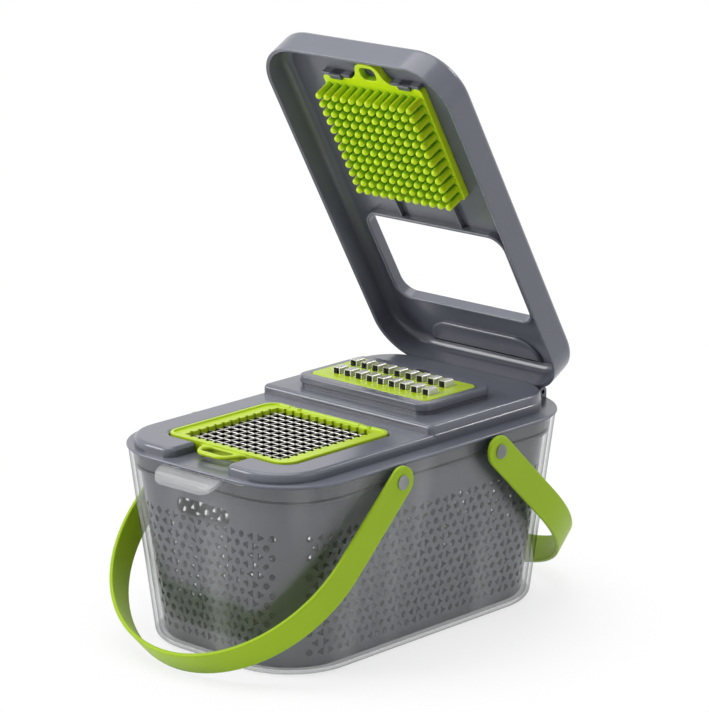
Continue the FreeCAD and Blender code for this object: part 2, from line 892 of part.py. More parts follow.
def build_blades(label, lengthwise):
    """One layer of parallel blades, edge up, that span the frame's opening."""
    body = new_body(label)
    half = size("blade_thick") / 2
    low = blade_top - size("blade_depth") * (1 if lengthwise else 2)
    blade = new_sketch(body, "XY_Plane", low)
    centre = size("dice_centre")
    if lengthwise:
        box_outline(
            blade,
            -first_blade - half,
            half - first_blade,
            centre - dice_opening,
            centre + dice_opening,
        )
    else:
        first = centre - first_blade
        box_outline(blade, -dice_opening, dice_opening, first - half, first + half)
    single = pad(body, blade, size("blade_depth"))
    axis = "X_Axis" if lengthwise else "Y_Axis"
    repeat(body, [single], axis, size("cell_pitch"), size("cell_count") - 1)
    return body


# Grating insert, a plate with slots and a steel sheet whose loops rise through them

def loop_rows():
    """Left edge and open end of the first loop in the front row and in the staggered rear row."""
    left = -size("loop_pitch") * (size("loop_count") - 1) / 2 - size("loop_width") / 2
    front = size("loop_row_front")
    return [
        (left + size("loop_stagger"), front),
        (left - size("loop_stagger"), front + size("loop_row_pitch")),
    ]


def repeat_loops(body, feature):
    repeat(body, [feature], "X_Axis", size("loop_pitch"), size("loop_count"))


def build_grater_frame():
    body = new_body("grater_frame")
    plate = new_sketch(body, "XY_Plane", grater_seat)
    grater_outline(plate, as_size(0.0))
    pad(body, plate, size("grater_thick"))
    gap = size("loop_gap")
    for left, front in loop_rows():
        slot = new_sketch(body, "XY_Plane", grater_top)
        right, rear = left + size("loop_width"), front + size("loop_length")
        box_outline(slot, left - gap, right + gap, front - gap, rear + gap)
        repeat_loops(body, cut(body, slot, size("grater_thick")))
    return body


def build_grater_blade():
    body = new_body("grater_blade")
    sheet_low = grater_seat - size("grater_sheet")
    metal = new_sketch(body, "XY_Plane", sheet_low)
    grater_outline(metal, -size("grater_ledge_width") - size("grater_fit"))
    pad(body, metal, size("grater_sheet"))
    wall, crown = size("loop_wall"), grater_top + size("loop_rise")
    for left, front in loop_rows():
        right, rear = left + size("loop_width"), front + size("loop_length")
        loop = new_sketch(body, "XZ_Plane", -front)
        polygon(loop, [
            (left, sheet_low),
            (left + wall, sheet_low),
            (left + wall, crown - wall),
            (right - wall, crown - wall),
            (right - wall, sheet_low),
            (right, sheet_low),
            (right, crown),
            (left, crown),
        ])
        repeat_loops(body, pad(body, loop, size("loop_length"), back=True))
        drop = new_sketch(body, "XY_Plane", grater_seat)
        box_outline(drop, left + wall, right - wall, front, rear)
        repeat_loops(body, cut(body, drop, size("grater_sheet")))
    return body


# Flip lid, drawn closed about its hinge axis and then swung open

lid_low = flange_top + size("lid_seat") - hinge_z
lid_top = lid_low + size("lid_depth")
lid_ceiling = lid_top - size("lid_roof")
lid_front = size("lid_front_inset") - flange_half_length - hinge_y
lid_rear = -size("lid_rear_gap")
press_centre = size("dice_centre") - hinge_y


def swing_open(body):
    body.Placement = FreeCAD.Placement(
        FreeCAD.Vector(0, float(hinge_y), float(hinge_z)),
        FreeCAD.Rotation(FreeCAD.Vector(-1, 0, 0), SIZES["lid_open"]),
    )
    bind(body, "Placement.Base.y", hinge_y)
    bind(body, "Placement.Base.z", hinge_z)
    bind(body, "Placement.Rotation.Angle", size("lid_open"))


def lid_outline(sketch, inset):
    rounded_rect(
        sketch,
        size("lid_half_width") - inset,
        lid_front + inset,
        lid_rear - inset,
        size("lid_corner") - inset,
    )


def window_outline(sketch, grow):
    rounded_rect(
        sketch,
        size("pedestal_half_width") + grow,
        size("pedestal_front") - hinge_y - grow,
        size("pedestal_rear") - hinge_y + grow,
        size("pedestal_corner") + grow,
    )


def build_lid():
    body = new_body("flip_lid")
    shell = new_sketch(body, "XY_Plane", lid_low)
    lid_outline(shell, as_size(0.0))
    pad(body, shell, size("lid_depth"))
    bevel_edges(body, size("lid_bevel"), level_edge(lid_top))
    hollow = new_sketch(body, "XY_Plane", lid_low)
    lid_outline(hollow, size("lid_wall"))
    cut(body, hollow, size("lid_depth") - size("lid_roof"), back=True)

    lip = new_sketch(body, "XY_Plane", lid_ceiling)
    window_outline(lip, size("window_gap") + size("window_lip_wall"))
    pad(body, lip, size("window_lip"), back=True)
    window = new_sketch(body, "XY_Plane", lid_top)
    window_outline(window, size("window_gap"))
    cut(body, window, size("lid_depth"))

    # hooks that hold the pressing plate by its front edge
    plate_front = press_centre - size("plate_front_reach") - size("clip_gap")
    hook_low = lid_ceiling - size("plate_thick") - size("clip_gap")
    hook = new_sketch(body, "YZ_Plane", size("clip_spread") - size("clip_half_width"))
    polygon(hook, [
        (plate_front, lid_ceiling + size("lid_roof") / 2),
        (plate_front, hook_low),
        (plate_front + size("clip_hook"), hook_low),
        (plate_front, hook_low - size("clip_hook")),
        (plate_front - size("clip_thick"), hook_low - size("clip_hook")),
        (plate_front - size("clip_thick"), lid_ceiling + size("lid_roof") / 2),
    ])
    hooks = pad(body, hook, size("clip_half_width") * 2)
    mirror(body, [hooks], "YZ_Plane")
    rail = new_sketch(body, "YZ_Plane", size("clip_spread") - size("clip_rail_half_width"))
    box_outline(
        rail,
        plate_front - size("clip_thick"),
        plate_front,
        hook_low,
        lid_ceiling + size("lid_roof") / 2,
    )
    rails = pad(body, rail, size("clip_rail_half_width") * 2)
    mirror(body, [rails], "YZ_Plane")

    # ribs from the pressing plate to the window, and the low arched panel before the hinge
    rib_start = press_centre + size("plate_rear_reach") + size("clip_gap") * 2
    rib_end = size("pedestal_front") - hinge_y - size("window_gap") - size("window_lip_wall") / 2
    rib = new_sketch(body, "XY_Plane", lid_ceiling)
    for middle in (-size("rib_spread"), size("rib_spread")):
        half = size("rib_thick") / 2
        box_outline(rib, middle - half, middle + half, rib_start, rib_end)
    pad(body, rib, size("rib_depth"), back=True)
    panel = new_sketch(body, "XY_Plane", lid_ceiling)
    panel_rear = lid_rear - size("lid_wall") - size("panel_gap")
    panel_front = panel_rear - size("panel_length")
    cut_corners(
        panel,
        size("panel_half_width"),
        panel_front,
        panel_rear,
        size("panel_length") * 0.6,
        size("panel_length") * 0.1,
    )
    pad(body, panel, size("panel_thick"), back=True)

    # hinge knuckles behind the rear wall
    side = size("lug_outer") - size("lug_width") - size("knuckle_gap") - size("knuckle_width")
    knuckle = new_sketch(body, "YZ_Plane", side)
    root = lid_rear - size("lid_wall") / 2
    stadium_end(knuckle, root, (as_size(0.0), as_size(0.0)), size("knuckle_radius"))
    knuckles = pad(body, knuckle, size("knuckle_width"))
    mirror(body, [knuckles], "YZ_Plane")
    bore = new_sketch(body, "YZ_Plane")
    circle(bore, 0.0, 0.0, size("hinge_pin_radius") + size("hinge_bore_gap"))
    cut(body, bore, size("lug_outer") * 4, both=True)
    swing_open(body)
    return body


# Pressing plate under the lid, with one pin for each cell of the dicing grid

def build_press_plate():
    body = new_body("press_plate")
    plate = new_sketch(body, "XY_Plane", lid_ceiling)
    rounded_rect(
        plate,
        size("plate_half_width"),
        press_centre - size("plate_front_reach"),
        press_centre + size("plate_rear_reach"),
        size("plate_corner"),
    )
    pad(body, plate, size("plate_thick"), back=True)
    plate_front = press_centre - size("plate_front_reach")
    rim, reach = size("press_ring_rim"), size("press_ring_reach")
    shoulder = new_sketch(body, "XY_Plane", lid_ceiling)
    polygon(shoulder, [
        (-size("press_shoulder"), plate_front + rim),
        (-size("press_shoulder"), plate_front),
        (-size("press_ring_half_width"), plate_front - reach / 2),
        (size("press_ring_half_width"), plate_front - reach / 2),
        (size("press_shoulder"), plate_front),
        (size("press_shoulder"), plate_front + rim),
    ])
    pad(body, shoulder, size("plate_thick"), back=True)
    ring = new_sketch(body, "XY_Plane", lid_ceiling)
    rounded_rect(
        ring,
        size("press_ring_half_width"),
        plate_front - reach,
        plate_front + rim,
        size("press_ring_half_width") * 0.9,
        rim / 2,
    )
    pad(body, ring, size("plate_thick"), back=True)
    hole = new_sketch(body, "XY_Plane", lid_ceiling)
    rounded_rect(
        hole,
        size("press_ring_half_width") - rim,
        plate_front - reach + rim,
        plate_front - rim / 4,
        (size("press_ring_half_width") - rim) * 0.7,
    )
    cut(body, hole, size("plate_thick"))
    notch = new_sketch(body, "XY_Plane", lid_ceiling)
    for middle in (-size("clip_spread"), size("clip_spread")):
        half = size("clip_half_width") + size("clip_notch")
        box_outline(
            notch,
            middle - half,
            middle + half,
            plate_front - rim,
            plate_front + size("clip_notch"),
        )
    cut(body, notch, size("plate_thick"))
    pin = new_sketch(body, "XY_Plane", lid_ceiling - size("plate_thick"))
    corner_x, corner_y = -first_cell, press_centre - first_cell
    half, rise = size("pin_radius") / 2, size("pin_radius") * 0.866
    polygon(pin, [
        (corner_x + size("pin_radius"), corner_y),
        (corner_x + half, corner_y + rise),
        (corner_x - half, corner_y + rise),
        (corner_x - size("pin_radius"), corner_y),
        (corner_x - half, corner_y - rise),
        (corner_x + half, corner_y - rise),
    ])
    pins = pad(body, pin, lid_ceiling - size("plate_thick") - lid_low, back=True)
    rows = ("Y_Axis", size("cell_pitch"), size("cell_count"))
    repeat(body, [pins], "X_Axis", size("cell_pitch"), size("cell_count"), rows)
    swing_open(body)
    return body


# Steel pins of the lid hinge, pressed into the deck's lugs

def build_hinge_pins():
    body = new_body("hinge_pins")
    length = size("lug_width") * 2 + size("knuckle_width") + size("knuckle_gap") * 2
    end = new_sketch(body, "YZ_Plane", size("lug_outer"))
    circle(end, hinge_y, hinge_z, size("hinge_pin_radius"))
    pin = pad(body, end, length, back=True)
    mirror(body, [pin], "YZ_Plane")
    return body


# Studs that carry a strap, pressed into the tub's bosses

def build_studs(label, side):
    body = new_body(label)
    head_inner = strap_outer + size("strap_head_gap")
    y = size("pivot_spread") * side
    shank = new_sketch(body, "YZ_Plane", boss_root)
    circle(shank, y, pivot_z, size("stud_radius"))
    shanks = pad(body, shank, head_inner - boss_root)
    head = new_sketch(body, "YZ_Plane", head_inner)
    circle(head, y, pivot_z, size("stud_head_radius"))
    heads = pad(body, head, size("stud_head_thick"))
    mirror(body, [shanks, heads], "YZ_Plane")
    return body


# Carrying strap, a band bent in a bow between its two legs

def strap_line(sketch, side, grow):
    """One edge of the band, from the end of one leg round the bow to the end of the other."""
    middle = strap_inner + size("strap_thick") / 2
    span, bow_centre = middle + grow, (size("strap_reach") - middle) * side
    leg_end = size("strap_width") * (-side / 2)
    w, y, end = float(span) * side, float(bow_centre), float(leg_end)
    turn = 0 if side > 0 else 180
    first = sketch.GeometryCount
    sketch.addGeometry([
        line((w, end), (w, y)),
        arc((0, y), abs(w), turn, turn + 180),
        line((-w, y), (-w, end)),
    ])
    first_leg, bow, last_leg = range(first, first + 3)
    join_tangent(sketch, [first_leg, bow, last_leg], closed=False)
    sketch.addConstraint(Sketcher.Constraint("Vertical", first_leg))
    sketch.addConstraint(Sketcher.Constraint("Vertical", last_leg))
    sketch.addConstraint(Sketcher.Constraint("PointOnObject", bow, 3, -2))
    measure(sketch, "DistanceY", bow, 3, bow_centre)
    measure(sketch, "DistanceX", first_leg, 1, span * side)
    measure(sketch, "DistanceY", first_leg, 1, leg_end)
    measure(sketch, "DistanceY", last_leg, 2, leg_end)
    return first_leg, last_leg


def build_strap(label, side):
    body = new_body(label)
    band = new_sketch(body, "XY_Plane")
    outer_first, outer_last = strap_line(band, side, size("strap_thick") / 2)
    inner_first, inner_last = strap_line(band, side, -size("strap_thick") / 2)
    for outer, inner, point in ((outer_first, inner_first, 1), (outer_last, inner_last, 2)):
        a, b = band.getPoint(outer, point), band.getPoint(inner, point)
        end = band.addGeometry(line((a.x, a.y), (b.x, b.y)))
        band.addConstraint(Sketcher.Constraint("Coincident", end, 1, outer, point))
        band.addConstraint(Sketcher.Constraint("Coincident", end, 2, inner, point))
    pad(body, band, size("strap_width"), both=True)
    leg_end = -side * SIZES["strap_width"] / 2
    round_edges(
        body,
        size("strap_width") * 0.49,
        lambda edge: abs(edge.BoundBox.YMin - leg_end) < 0.01
        and abs(edge.BoundBox.YMax - leg_end) < 0.01
        and edge.BoundBox.ZLength < 0.01,
    )
    bore = new_sketch(body, "YZ_Plane")
    circle(bore, 0.0, 0.0, size("stud_radius") + size("strap_bore_gap"))
    cut(body, bore, strap_outer * 3, both=True)
    body.Placement = FreeCAD.Placement(
        FreeCAD.Vector(0, side * SIZES["pivot_spread"], float(pivot_z)),
        FreeCAD.Rotation(FreeCAD.Vector(-side, 0, 0), SIZES["strap_hang"]),
    )
    bind(body, "Placement.Base.y", size("pivot_spread") * side)
    bind(body, "Placement.Base.z", pivot_z)
    bind(body, "Placement.Rotation.Angle", size("strap_hang"))
    return body


FRONT, REAR = -1, 1

parts = [
    build_container(),
    build_basket(),
    build_deck(),
    build_dice_frame(),
    build_blades("dice_blades_lengthwise", True),
    build_blades("dice_blades_crosswise", False),
    build_grater_frame(),
    build_grater_blade(),
    build_lid(),
    build_press_plate(),
    build_hinge_pins(),
    build_strap("front_handle", FRONT),
    build_strap("rear_handle", REAR),
    build_studs("front_handle_studs", FRONT),
    build_studs("rear_handle_studs", REAR),
]

doc.recompute()
for item in doc.Objects:
    if "Invalid" in item.State or "Error" in item.State:
        raise RuntimeError(f"{item.Label} did not build: {item.State}")
for part in parts:
    if part.Shape.isNull() or not part.Shape.isValid():
        raise RuntimeError(f"{part.Label} has no valid shape")

os.makedirs("parts", exist_ok=True)
for part in parts:
    part.Shape.exportStep(f"parts/{part.Label}.step")
    box = part.Shape.BoundBox
    print(
        f"{part.Label}: {len(part.Shape.Solids)} solid(s), {part.Shape.Volume / 1000:.1f} cm3, "
        f"y {box.YMin:.1f}..{box.YMax:.1f}, z {box.ZMin:.1f}..{box.ZMax:.1f}"
    )
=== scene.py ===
import math

import bmesh
import bpy
from mathutils import Matrix, Vector


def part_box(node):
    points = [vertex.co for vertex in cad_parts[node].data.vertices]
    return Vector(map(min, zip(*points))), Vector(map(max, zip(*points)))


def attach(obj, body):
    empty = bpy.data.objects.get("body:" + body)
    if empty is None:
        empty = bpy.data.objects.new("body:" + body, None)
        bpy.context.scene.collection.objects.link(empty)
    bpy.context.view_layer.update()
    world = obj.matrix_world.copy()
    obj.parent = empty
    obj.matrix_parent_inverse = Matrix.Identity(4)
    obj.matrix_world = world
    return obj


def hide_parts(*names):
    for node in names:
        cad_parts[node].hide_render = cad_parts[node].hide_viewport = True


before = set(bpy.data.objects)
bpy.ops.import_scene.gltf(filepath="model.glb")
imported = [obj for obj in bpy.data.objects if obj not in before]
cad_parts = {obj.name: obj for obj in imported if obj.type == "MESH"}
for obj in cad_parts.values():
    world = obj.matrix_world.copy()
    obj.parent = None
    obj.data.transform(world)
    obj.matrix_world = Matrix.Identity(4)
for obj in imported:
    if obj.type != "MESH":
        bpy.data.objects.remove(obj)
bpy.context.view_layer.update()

bl_info = {
    "name": "Mandoline Slicer",
    "version": (1, 0, 0),
    "blender": (4, 5, 0),
    "location": "View3D > Sidebar > Slicer",
    "description": "Builds the slicer and dicer on its clear tub, piece by piece, over the packed solids",
    "category": "Mesh",
}

MM = 0.001

# Small values that several pieces share
CRISP_EDGE = 0.3 * MM
TIGHT_CORNER = 0.2 * MM
CLEARANCE = 0.2 * MM
ROOT = 1.0 * MM
FULL_ROUND = 0.98
LARGE_CORNER_STEPS = 14


def node_box(node):
    """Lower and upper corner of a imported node."""
    low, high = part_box(node)
    return Vector(low), Vector(high)


# Sizes and colours that a user would change

def length(name, text, millimetres):
    return bpy.props.FloatProperty(
        name=name, description=text, default=millimetres * MM, min=0.0, unit="LENGTH", precision=5
    )


def angle(name, text, degrees):
    return bpy.props.FloatProperty(
        name=name, description=text, default=math.radians(degrees), subtype="ANGLE"
    )


def colour(name, text, value):
    return bpy.props.FloatVectorProperty(
        name=name, description=text, default=value, size=3, min=0.0, max=1.0, subtype="COLOR"
    )


def number(name, text, value):
    return bpy.props.IntProperty(name=name, description=text, default=value, min=1)


class TubSizes(bpy.types.PropertyGroup):
    """Clear tub, colander basket and carrying straps"""

    half_width: length("Half width", "Half the tub's width at its rim", 79.0)
    half_length: length("Half length", "Half the tub's length at its rim", 127.0)
    corner: length("Corner", "Corner radius of the tub at its rim", 43.5)
    draft: angle("Draft", "Lean of the tub's and basket's walls", 5.2)
    wall: length("Wall", "Thickness of the tub's wall", 2.4)
    floor: length("Floor", "Thickness of the tub's floor", 2.6)
    base_round: length("Base rounding", "Rounding of the tub's outer bottom edge", 5.0)
    tab_half_width: length("Tab half width", "Half the width of the pull tab", 24.0)
    basket_gap: length("Basket gap", "Space between the tub and the basket", 3.4)
    basket_wall: length("Basket wall", "Thickness of the basket's wall", 1.8)
    basket_rim: length("Basket rim", "Overhang of the basket's rim", 2.4)
    hole_pitch: length("Hole pitch", "Spacing of the basket's holes along a row", 7.0)
    hole_rows: number("Hole rows", "Rows of holes in the basket's walls", 13)
    row_pitch: length("Row pitch", "Spacing of the rows of holes", 5.9)
    first_row: length("First row", "Height of the lowest edge of the rows of holes", 9.6)
    pivot_spread: length("Pivot spread", "Distance of each strap's pivot from the middle", 42.7)
    boss_radius: length("Boss radius", "Radius of the bosses that carry the straps", 6.2)
    boss_face: length("Boss face", "Distance of the bosses' faces from the middle", 81.4)
    strap_inner: length("Strap inner face", "Distance of a strap's inner face from the middle", 82.1)
    strap_thick: length("Strap thickness", "Thickness of the straps", 2.6)
    strap_width: length("Strap width", "Width of the straps", 19.0)
    strap_reach: length("Strap reach", "Distance from a strap's pivot to its bow", 144.0)
    strap_hang: angle("Strap hang", "Angle of the hanging straps below level", 43.6)
    stud_radius: length("Stud head radius", "Radius of a stud's head", 4.4)


class DeckSizes(bpy.types.PropertyGroup):
    """Deck, dicing insert and grating insert"""

    flange_thick: length("Flange", "Thickness of the deck's flange", 2.0)
    flange_over: length("Flange overhang", "How far the flange stands past the tub", 1.0)
    shadow_gap: length("Shadow gap", "Height of the gap between the tub's rim and the flange's edge", 0.7)
    flange_width: length("Flange width", "How far the flange reaches in under the raised deck", 16.0)
    skirt_inset: length("Skirt inset", "Distance of the plug skirt inside the tub's rim", 4.0)
    skirt_wall: length("Skirt wall", "Thickness of the plug skirt", 2.0)
    half_width: length("Half width", "Half the width of the raised deck", 69.2)
    front: length("Front", "Distance of the raised deck's front edge from the middle", 123.4)
    rear: length("Rear", "Distance of the raised deck's rear edge from the middle", 114.0)
    front_corner: length("Front corner", "Radius of the raised deck's front corners", 30.0)
    rear_corner: length("Rear corner", "Radius of the raised deck's rear corners", 26.0)
    rise: length("Rise", "Height of the front level above the flange", 5.9)
    step: length("Step", "Height of the rear level above the front level", 5.5)
    softness: length("Edge rounding", "Rounding of the deck's top edges", 2.6)
    thumb_gap: length("Thumb gap", "Half the width of the gap before the dicing insert", 22.0)
    pedestal_half_width: length("Pedestal half width", "Half the width of the grater's pedestal", 52.5)
    pedestal_front: length("Pedestal front", "Front edge of the grater's pedestal", 11.3)
    pedestal_rear: length("Pedestal rear", "Rear edge of the grater's pedestal", 73.3)
    pedestal_corner: length("Pedestal corner", "Corner radius of the grater's pedestal", 8.0)
    pedestal_lip: length("Pedestal lip", "Height of the pedestal's overhanging lip", 4.8)
    pedestal_undercut: length("Undercut", "How far the pedestal's foot stands back", 1.1)
    notch_radius: length("Finger notch", "Radius of the notch that lifts the grater", 6.5)
    insert_fit: length("Insert fit", "Gap round an insert in its seat", 0.3)
    dice_corner: length("Dicing corner", "Corner radius of the dicing insert", 9.0)
    dice_rim: length("Dicing rim", "Width of the dicing insert's raised rim", 2.2)
    dice_sink: length("Dicing sink", "Depth of the dicing insert's border below its rim", 1.0)
    dice_slot: length("Comb slot", "Width of the slots that take the blades' ends", 2.4)
    dice_slot_depth: length("Comb depth", "Depth of the slots that take the blades' ends", 1.5)
    dice_notch: length("Rear notch", "Width of the two notches in the dicing insert's rear edge", 5.0)
    dice_notch_place: length("Notch place", "Distance of each rear notch from the middle", 28.0)
    cell_pitch: length("Cell pitch", "Spacing of the dicing blades", 6.5)
    cell_count: number("Cells", "Cells along each side of the dicing grid", 12)
    blade_thick: length("Blade", "Thickness of the dicing blades", 0.6)
    ring_half_width: length("Pull ring", "Half the width of the dicing insert's pull ring", 14.5)
    ring_rim: length("Pull ring rim", "Width of the pull ring's rim", 3.6)
    grater_corner: length("Grater corner", "Corner radius of the grating insert", 5.0)
    loop_width: length("Loop width", "Width of a grating loop", 5.4)
    loop_length: length("Loop length", "Length of a grating loop", 10.5)
    loop_wall: length("Loop wall", "Thickness of a grating loop", 0.5)
    loop_pitch: length("Loop pitch", "Spacing of the grating loops", 8.96)
    loop_count: number("Loops", "Grating loops in each row", 9)
    loop_stagger: length("Loop stagger", "Sideways shift of each row of loops", 2.25)
    first_loop: length("First loop", "Front edge of the front row of loops", 28.0)
    loop_rows: length("Loop rows", "Distance between the two rows of loops", 19.7)


class LidSizes(bpy.types.PropertyGroup):
    """Flip lid, pressing plate and hinge"""

    hinge_y: length("Hinge place", "Distance of the hinge axis behind the middle", 122.6)
    hinge_z: length("Hinge height", "Height of the hinge axis", 121.6)
    open_angle: angle("Open", "Angle of the lid from its closed place", 60.5)
    half_width: length("Half width", "Half the lid's width", 72.2)
    reach: length("Reach", "Distance from the hinge axis to the lid's front", 248.9)
    rear_gap: length("Rear gap", "Distance from the hinge axis to the lid's rear wall", 5.0)
    drop: length("Drop", "How far the lid's rim lies below the hinge axis", 3.4)
    depth: length("Depth", "Depth of the lid", 19.7)
    corner: length("Corner", "Corner radius of the lid", 29.0)
    wall: length("Wall", "Thickness of the lid's walls", 2.2)
    roof: length("Roof", "Thickness of the lid's roof", 2.4)
    softness: length("Edge rounding", "Rounding of the lid's upper edge", 4.4)
    window_gap: length("Window gap", "Space between the pedestal and the lid's window", 1.5)
    window_corner: length("Window corner", "Corner radius of the lid's window", 9.5)
    window_lip: length("Window lip", "Depth of the lip round the window", 5.0)
    plate_half_width: length("Plate half width", "Half the width of the pressing plate", 39.0)
    plate_front: length("Plate front", "Reach of the pressing plate in front of its pins' middle", 43.0)
    plate_rear: length("Plate rear", "Reach of the pressing plate behind its pins' middle", 39.0)
    plate_thick: length("Plate thickness", "Thickness of the pressing plate", 4.4)
    pin_radius: length("Pin radius", "Radius of the pins at their roots", 2.3)
    plate_ring: length("Plate ring", "Reach of the pressing plate's pull ring", 12.6)
    clip_spread: length("Clip spread", "Distance of each plate clip from the middle", 27.0)
    clip_half_width: length("Clip half width", "Half the width of a clip's tongue", 4.6)
    rail_half_width: length("Rail half width", "Half the width of the rail that carries a clip", 11.0)
    rib_spread: length("Rib spread", "Distance of each lid rib from the middle", 24.0)
    panel_half_width: length("Panel half width", "Half the width of the lid's raised panel", 44.0)
    panel_length: length("Panel length", "Length of the lid's raised panel", 17.0)
    panel_arch: length("Panel arch", "Radius of the panel's front corners", 16.0)
    lug_outer: length("Lug place", "Distance of the outer hinge lugs' faces from the middle", 49.5)
    lug_width: length("Lug width", "Width of a hinge lug", 3.6)
    lug_radius: length("Lug radius", "Radius of a hinge lug", 3.4)
    knuckle_width: length("Knuckle width", "Width of a lid knuckle", 9.4)
    knuckle_radius: length("Knuckle radius", "Radius of a lid knuckle", 3.2)
    knuckle_gap: length("Knuckle gap", "Gap between a lug and a knuckle", 0.3)
    pin_size: length("Hinge pin", "Radius of the hinge pins", 1.6)


class SlicerColours(bpy.types.PropertyGroup):
    """Colours of the finishes"""

    grey: colour("Grey", "Satin grey mouldings", (0.150, 0.156, 0.192))
    # Painted shade: the colour the grey pieces turn to in their hollows
    grey_painted_shade: colour("Grey shade", "Deep grey of the grey pieces' hollows", (0.070, 0.073, 0.090))
    lime: colour("Lime", "Lime dicing and grating inserts", (0.500, 0.670, 0.012))
    # Painted shade: the colour the lime pieces turn to in their hollows
    lime_painted_shade: colour("Lime shade", "Deep green of the lime pieces' hollows", (0.060, 0.210, 0.020))
    # Painted light: the lime made brighter for the pressing plate and pins, standing in for light through
    # the translucent plastic
    press: colour("Press lime", "Lime pressing plate and pins", (0.680, 0.900, 0.010))
    # Painted shade: the colour the plate's face turns to between the pins
    press_painted_shade: colour("Press shade", "Deep green between the pins", (0.130, 0.430, 0.040))
    # Painted shade: the dark colour of the basket's whole inner skin
    basket_inside_painted_shade: colour("Basket inside", "Shaded inner faces of the basket", (0.040, 0.041, 0.048))
    strap: colour("Strap lime", "Lime carrying straps", (0.345, 0.520, 0.008))
    steel: colour("Steel", "Blades and grating sheet", (0.64, 0.62, 0.59))
    pin: colour("Hinge pin", "Copper tone of the hinge pins", (0.36, 0.15, 0.07))
    clear: colour("Clear", "Tint of the clear tub", (0.95, 0.955, 0.955))
    stud: colour("Stud", "Tint of the clear studs", (0.30, 0.34, 0.30))
    floor: colour("Floor", "Pale studio floor", (0.90, 0.90, 0.90))


# Outlines, as corners (x, y, radius) in anticlockwise order

def rectangle(half_width, front, rear, front_radius, rear_radius=None):
    rear_radius = front_radius if rear_radius is None else rear_radius
    return [
        (-half_width, front, front_radius),
        (half_width, front, front_radius),
        (half_width, rear, rear_radius),
        (-half_width, rear, rear_radius),
    ]


def mirrored(corners):
    """The same corners on the other side of the middle, in the order that closes an outline."""
    return [(-x, y, radius) for x, y, radius in corners[::-1]]


def outline(corners, inset=0.0, steps=8):
    """Points round the corners, each rounded by its radius, with the whole line moved inwards."""
    least_radius = 0.02 * MM
    points = []
    for k, (x, y, radius) in enumerate(corners):
        here = Vector((x, y))
        arriving = (here - Vector(corners[k - 1][:2])).normalized()
        leaving = (Vector(corners[(k + 1) % len(corners)][:2]) - here).normalized()
        inward = Vector((-arriving.y, arriving.x))
        next_inward = Vector((-leaving.y, leaving.x))
        here = here + (inward + next_inward) * (inset / (1 + inward.dot(next_inward)))
        if radius == 0:
            points.append(here)
            continue
        turn = math.atan2(arriving.x * leaving.y - arriving.y * leaving.x, arriving.dot(leaving))
        side = math.copysign(1.0, turn)
        radius = max(radius - inset * side, least_radius)
        start = here - arriving * (radius * math.tan(abs(turn) / 2))
        centre = start + inward * (radius * side)
        for n in range(steps + 1):
            points.append(centre + Matrix.Rotation(turn * n / steps, 2) @ (start - centre))
    return points


def flat(x, y, z):
    """Outlines drawn from above, stacked along Z."""
    return Vector((x, y, z))


def across(y, z, x):
    """Outlines drawn in the side view, stacked along X."""
    return Vector((x, y, z))


def ring(corners, inset, height, steps=8, place=flat):
    return [place(p.x, p.y, height) for p in outline(corners, inset, steps)]


def stack(corners, layers, steps=8, place=flat):
    """One ring for each (inset, height) layer."""
    return [ring(corners, inset, height, steps, place) for inset, height in layers]


def quarter_round(steps):
    """Pairs that run from (0, 1) to (1, 0) along a hollow quarter circle."""
    turns = [math.pi / 2 * k / steps for k in range(steps + 1)]
    return [(1 - math.cos(turn), 1 - math.sin(turn)) for turn in turns]


def soft_sides(low, high, low_round, high_round, steps=4):
    """(inset, height) layers up a side with a rounded lower and a rounded upper edge."""
    rising = [(low_round * v, low + low_round * u) for u, v in quarter_round(steps)]
    ending = [(high_round * u, high - high_round * v) for u, v in quarter_round(steps)]
    return (rising if low_round else [(0.0, low)]) + (ending if high_round else [(0.0, high)])


def widened(layers):
    """The same layers for a hole, whose rounded edges open outwards."""
    return [(-inset, z) for inset, z in layers]


# Mesh building

def loft(bm, rings, closed=False):
    """Quads from each ring of points to the next."""
    loops = [[bm.verts.new(p) for p in points] for points in rings]
    pairs = list(zip(loops, loops[1:])) + ([(loops[-1], loops[0])] if closed else [])
    for lower, upper in pairs:
        bridge(bm, lower, upper)
    return loops


def bridge(bm, lower, upper):
    """Quads from one closed loop of vertices to another."""
    for k in range(len(lower)):
        n = (k + 1) % len(lower)
        bm.faces.new((lower[k], lower[n], upper[n], upper[k]))


def fill(bm, *loops):
    """A flat face inside the first loop and outside the others."""
    if len(loops) == 1:
        bm.faces.new(loops[0])
        return
    edges = []
    for loop in loops:
        for a, b in zip(loop, loop[1:] + loop[:1]):
            edges.append(bm.edges.get((a, b)) or bm.edges.new((a, b)))
    bmesh.ops.triangle_fill(bm, edges=edges, use_beauty=True)


def solid(bm, rings):
    """A closed solid over a stack of rings."""
    loops = loft(bm, rings)
    fill(bm, loops[0])
    fill(bm, loops[-1])


def pierced(bm, rings, *holes):
    """A closed solid over a stack of rings, with holes that run through it as stacks of their own."""
    outer = loft(bm, rings)
    inner = [loft(bm, hole) for hole in holes]
    fill(bm, outer[0], *(hole[0] for hole in inner))
    fill(bm, outer[-1], *(hole[-1] for hole in inner))


def slab(bm, corners, low, high, low_round, high_round, place=flat, steps=8):
    """A closed solid over one outline, with rounded edges."""
    solid(bm, stack(corners, soft_sides(low, high, low_round, high_round), steps, place))


def turned(bm, profile, centre, segments, direction):
    """A solid turned about an axis through the centre: the profile is (radius, place along the axis)."""
    along = Vector(direction).normalized()
    side = along.orthogonal().normalized()
    upper = along.cross(side)
    turns = [2 * math.pi * k / segments for k in range(segments)]
    solid(bm, [
        [Vector(centre) + along * t + (side * math.cos(a) + upper * math.sin(a)) * r for a in turns]
        for r, t in profile
    ])


